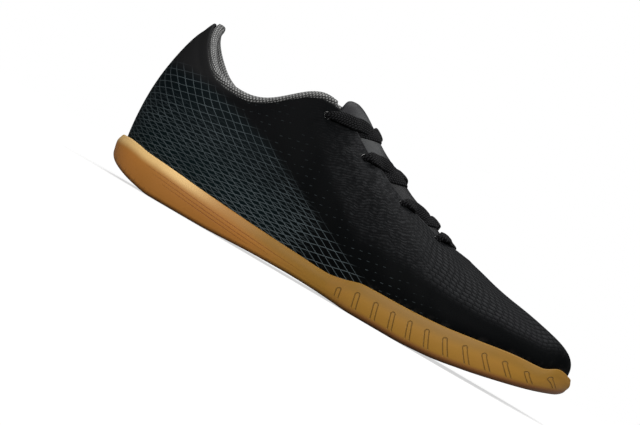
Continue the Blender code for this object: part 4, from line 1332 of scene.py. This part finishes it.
def make_stage():
    bpy.ops.mesh.primitive_circle_add(vertices=96, radius=4.0, fill_type="NGON", location=(0, 0, 0))
    floor = bpy.context.object
    floor.name = "floor"
    material = bpy.data.materials.new("white_floor")
    material.use_nodes = True
    tree = material.node_tree
    shader = tree.nodes["Principled BSDF"]
    shader.inputs["Base Color"].default_value = (0.85, 0.85, 0.85, 1)
    shader.inputs["Roughness"].default_value = 0.9
    shader.inputs["Specular IOR Level"].default_value = 0.0
    x, y, _ = place(tree)
    seen = tree.nodes.new("ShaderNodeLightPath").outputs["Is Camera Ray"]
    away = ((x * x + y * y).power(0.5)).ramp(170.0, 420.0)
    share = away * 0.40 + 0.60
    glow = tree.nodes.new("ShaderNodeEmission")
    glow.inputs["Strength"].default_value = 1.05
    bounce = Field(tree, seen) * 0.60 + 0.25
    paler = tree.nodes.new("ShaderNodeCombineColor")
    for channel in range(3):
        tree.links.new(bounce.socket, paler.inputs[channel])
    tree.links.new(paler.outputs[0], shader.inputs["Base Color"])
    mix = tree.nodes.new("ShaderNodeMixShader")
    tree.links.new((share * Field(tree, seen)).socket, mix.inputs[0])
    tree.links.new(shader.outputs[0], mix.inputs[1])
    tree.links.new(glow.outputs[0], mix.inputs[2])
    tree.links.new(mix.outputs[0], tree.nodes["Material Output"].inputs[0])
    floor.data.materials.append(material)
    world = bpy.data.worlds.new("studio")
    bpy.context.scene.world = world
    world.use_nodes = True
    tree = world.node_tree
    background = tree.nodes["Background"]
    background.inputs[0].default_value = (1, 1, 1, 1)
    path = tree.nodes.new("ShaderNodeLightPath")
    seen = Field(tree, path.outputs["Is Camera Ray"])
    strength = seen * 0.90 + 0.10
    tree.links.new(strength.socket, background.inputs[1])
    light("top_softbox", (0.05, 0.15, 1.00), (0, 0, 0), (1.4, 0.9), 12.0)
    light("front_softbox", (0.10, -1.30, 0.70), (0, 0, 0.05), (1.3, 0.5), 18.0)
    light("toe_softbox", (1.1, -0.25, 0.55), (0.05, 0, 0.04), (0.5, 0.6), 3.0)


def make_camera():
    yaw, rise, roll = math.radians(7.0), math.radians(-1.0), math.radians(30.1)
    scale, distance = 1792.0, 1.25
    target = Vector((0, 0, 0.045))
    view = Vector((-math.sin(yaw) * math.cos(rise), math.cos(yaw) * math.cos(rise), -math.sin(rise)))
    right = Vector((math.cos(yaw), math.sin(yaw), 0))
    up = right.cross(view)
    image_right = right * math.cos(roll) + up * math.sin(roll)
    image_up = up * math.cos(roll) - right * math.sin(roll)
    position = target - view * distance
    aim = target - image_right * (41.5 / scale) + image_up * (13.5 / scale)
    forward = (aim - position).normalized()
    side = (image_right - forward * image_right.dot(forward)).normalized()
    over = side.cross(forward)
    data = bpy.data.cameras.new("photo_camera")
    data.sensor_width = 36.0
    data.lens = scale * distance * 36.0 / 640.0
    data.clip_start, data.clip_end = 0.01, 20.0
    camera = bpy.data.objects.new("photo_camera", data)
    bpy.context.scene.collection.objects.link(camera)
    turn = Matrix((side, over, -forward)).transposed()
    camera.matrix_world = Matrix.Translation(position) @ turn.to_4x4()
    bpy.context.scene.camera = camera


def main():
    made = (
        (make_outsole(), "outsole", "gum_sole", False),
        (make_upper(), "upper", "upper_shell", False),
        (make_tongue(), "tongue", "tongue_fabric", True),
        (make_insole(), "insole", "insole_fabric", True),
        (make_lining(), "collar_lining", "knit_lining", True),
        (make_laces(), "laces", "lace_fabric", False),
    )
    for piece, node, slot, soft in made:
        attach(piece, "root")
        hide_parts(node)
        mesh = piece.data
        mesh.calc_loop_triangles()
        print(piece.name, len(mesh.loop_triangles), "triangles")


make_stage()
make_camera()
main()
bpy.context.scene.view_settings.view_transform = "Standard"
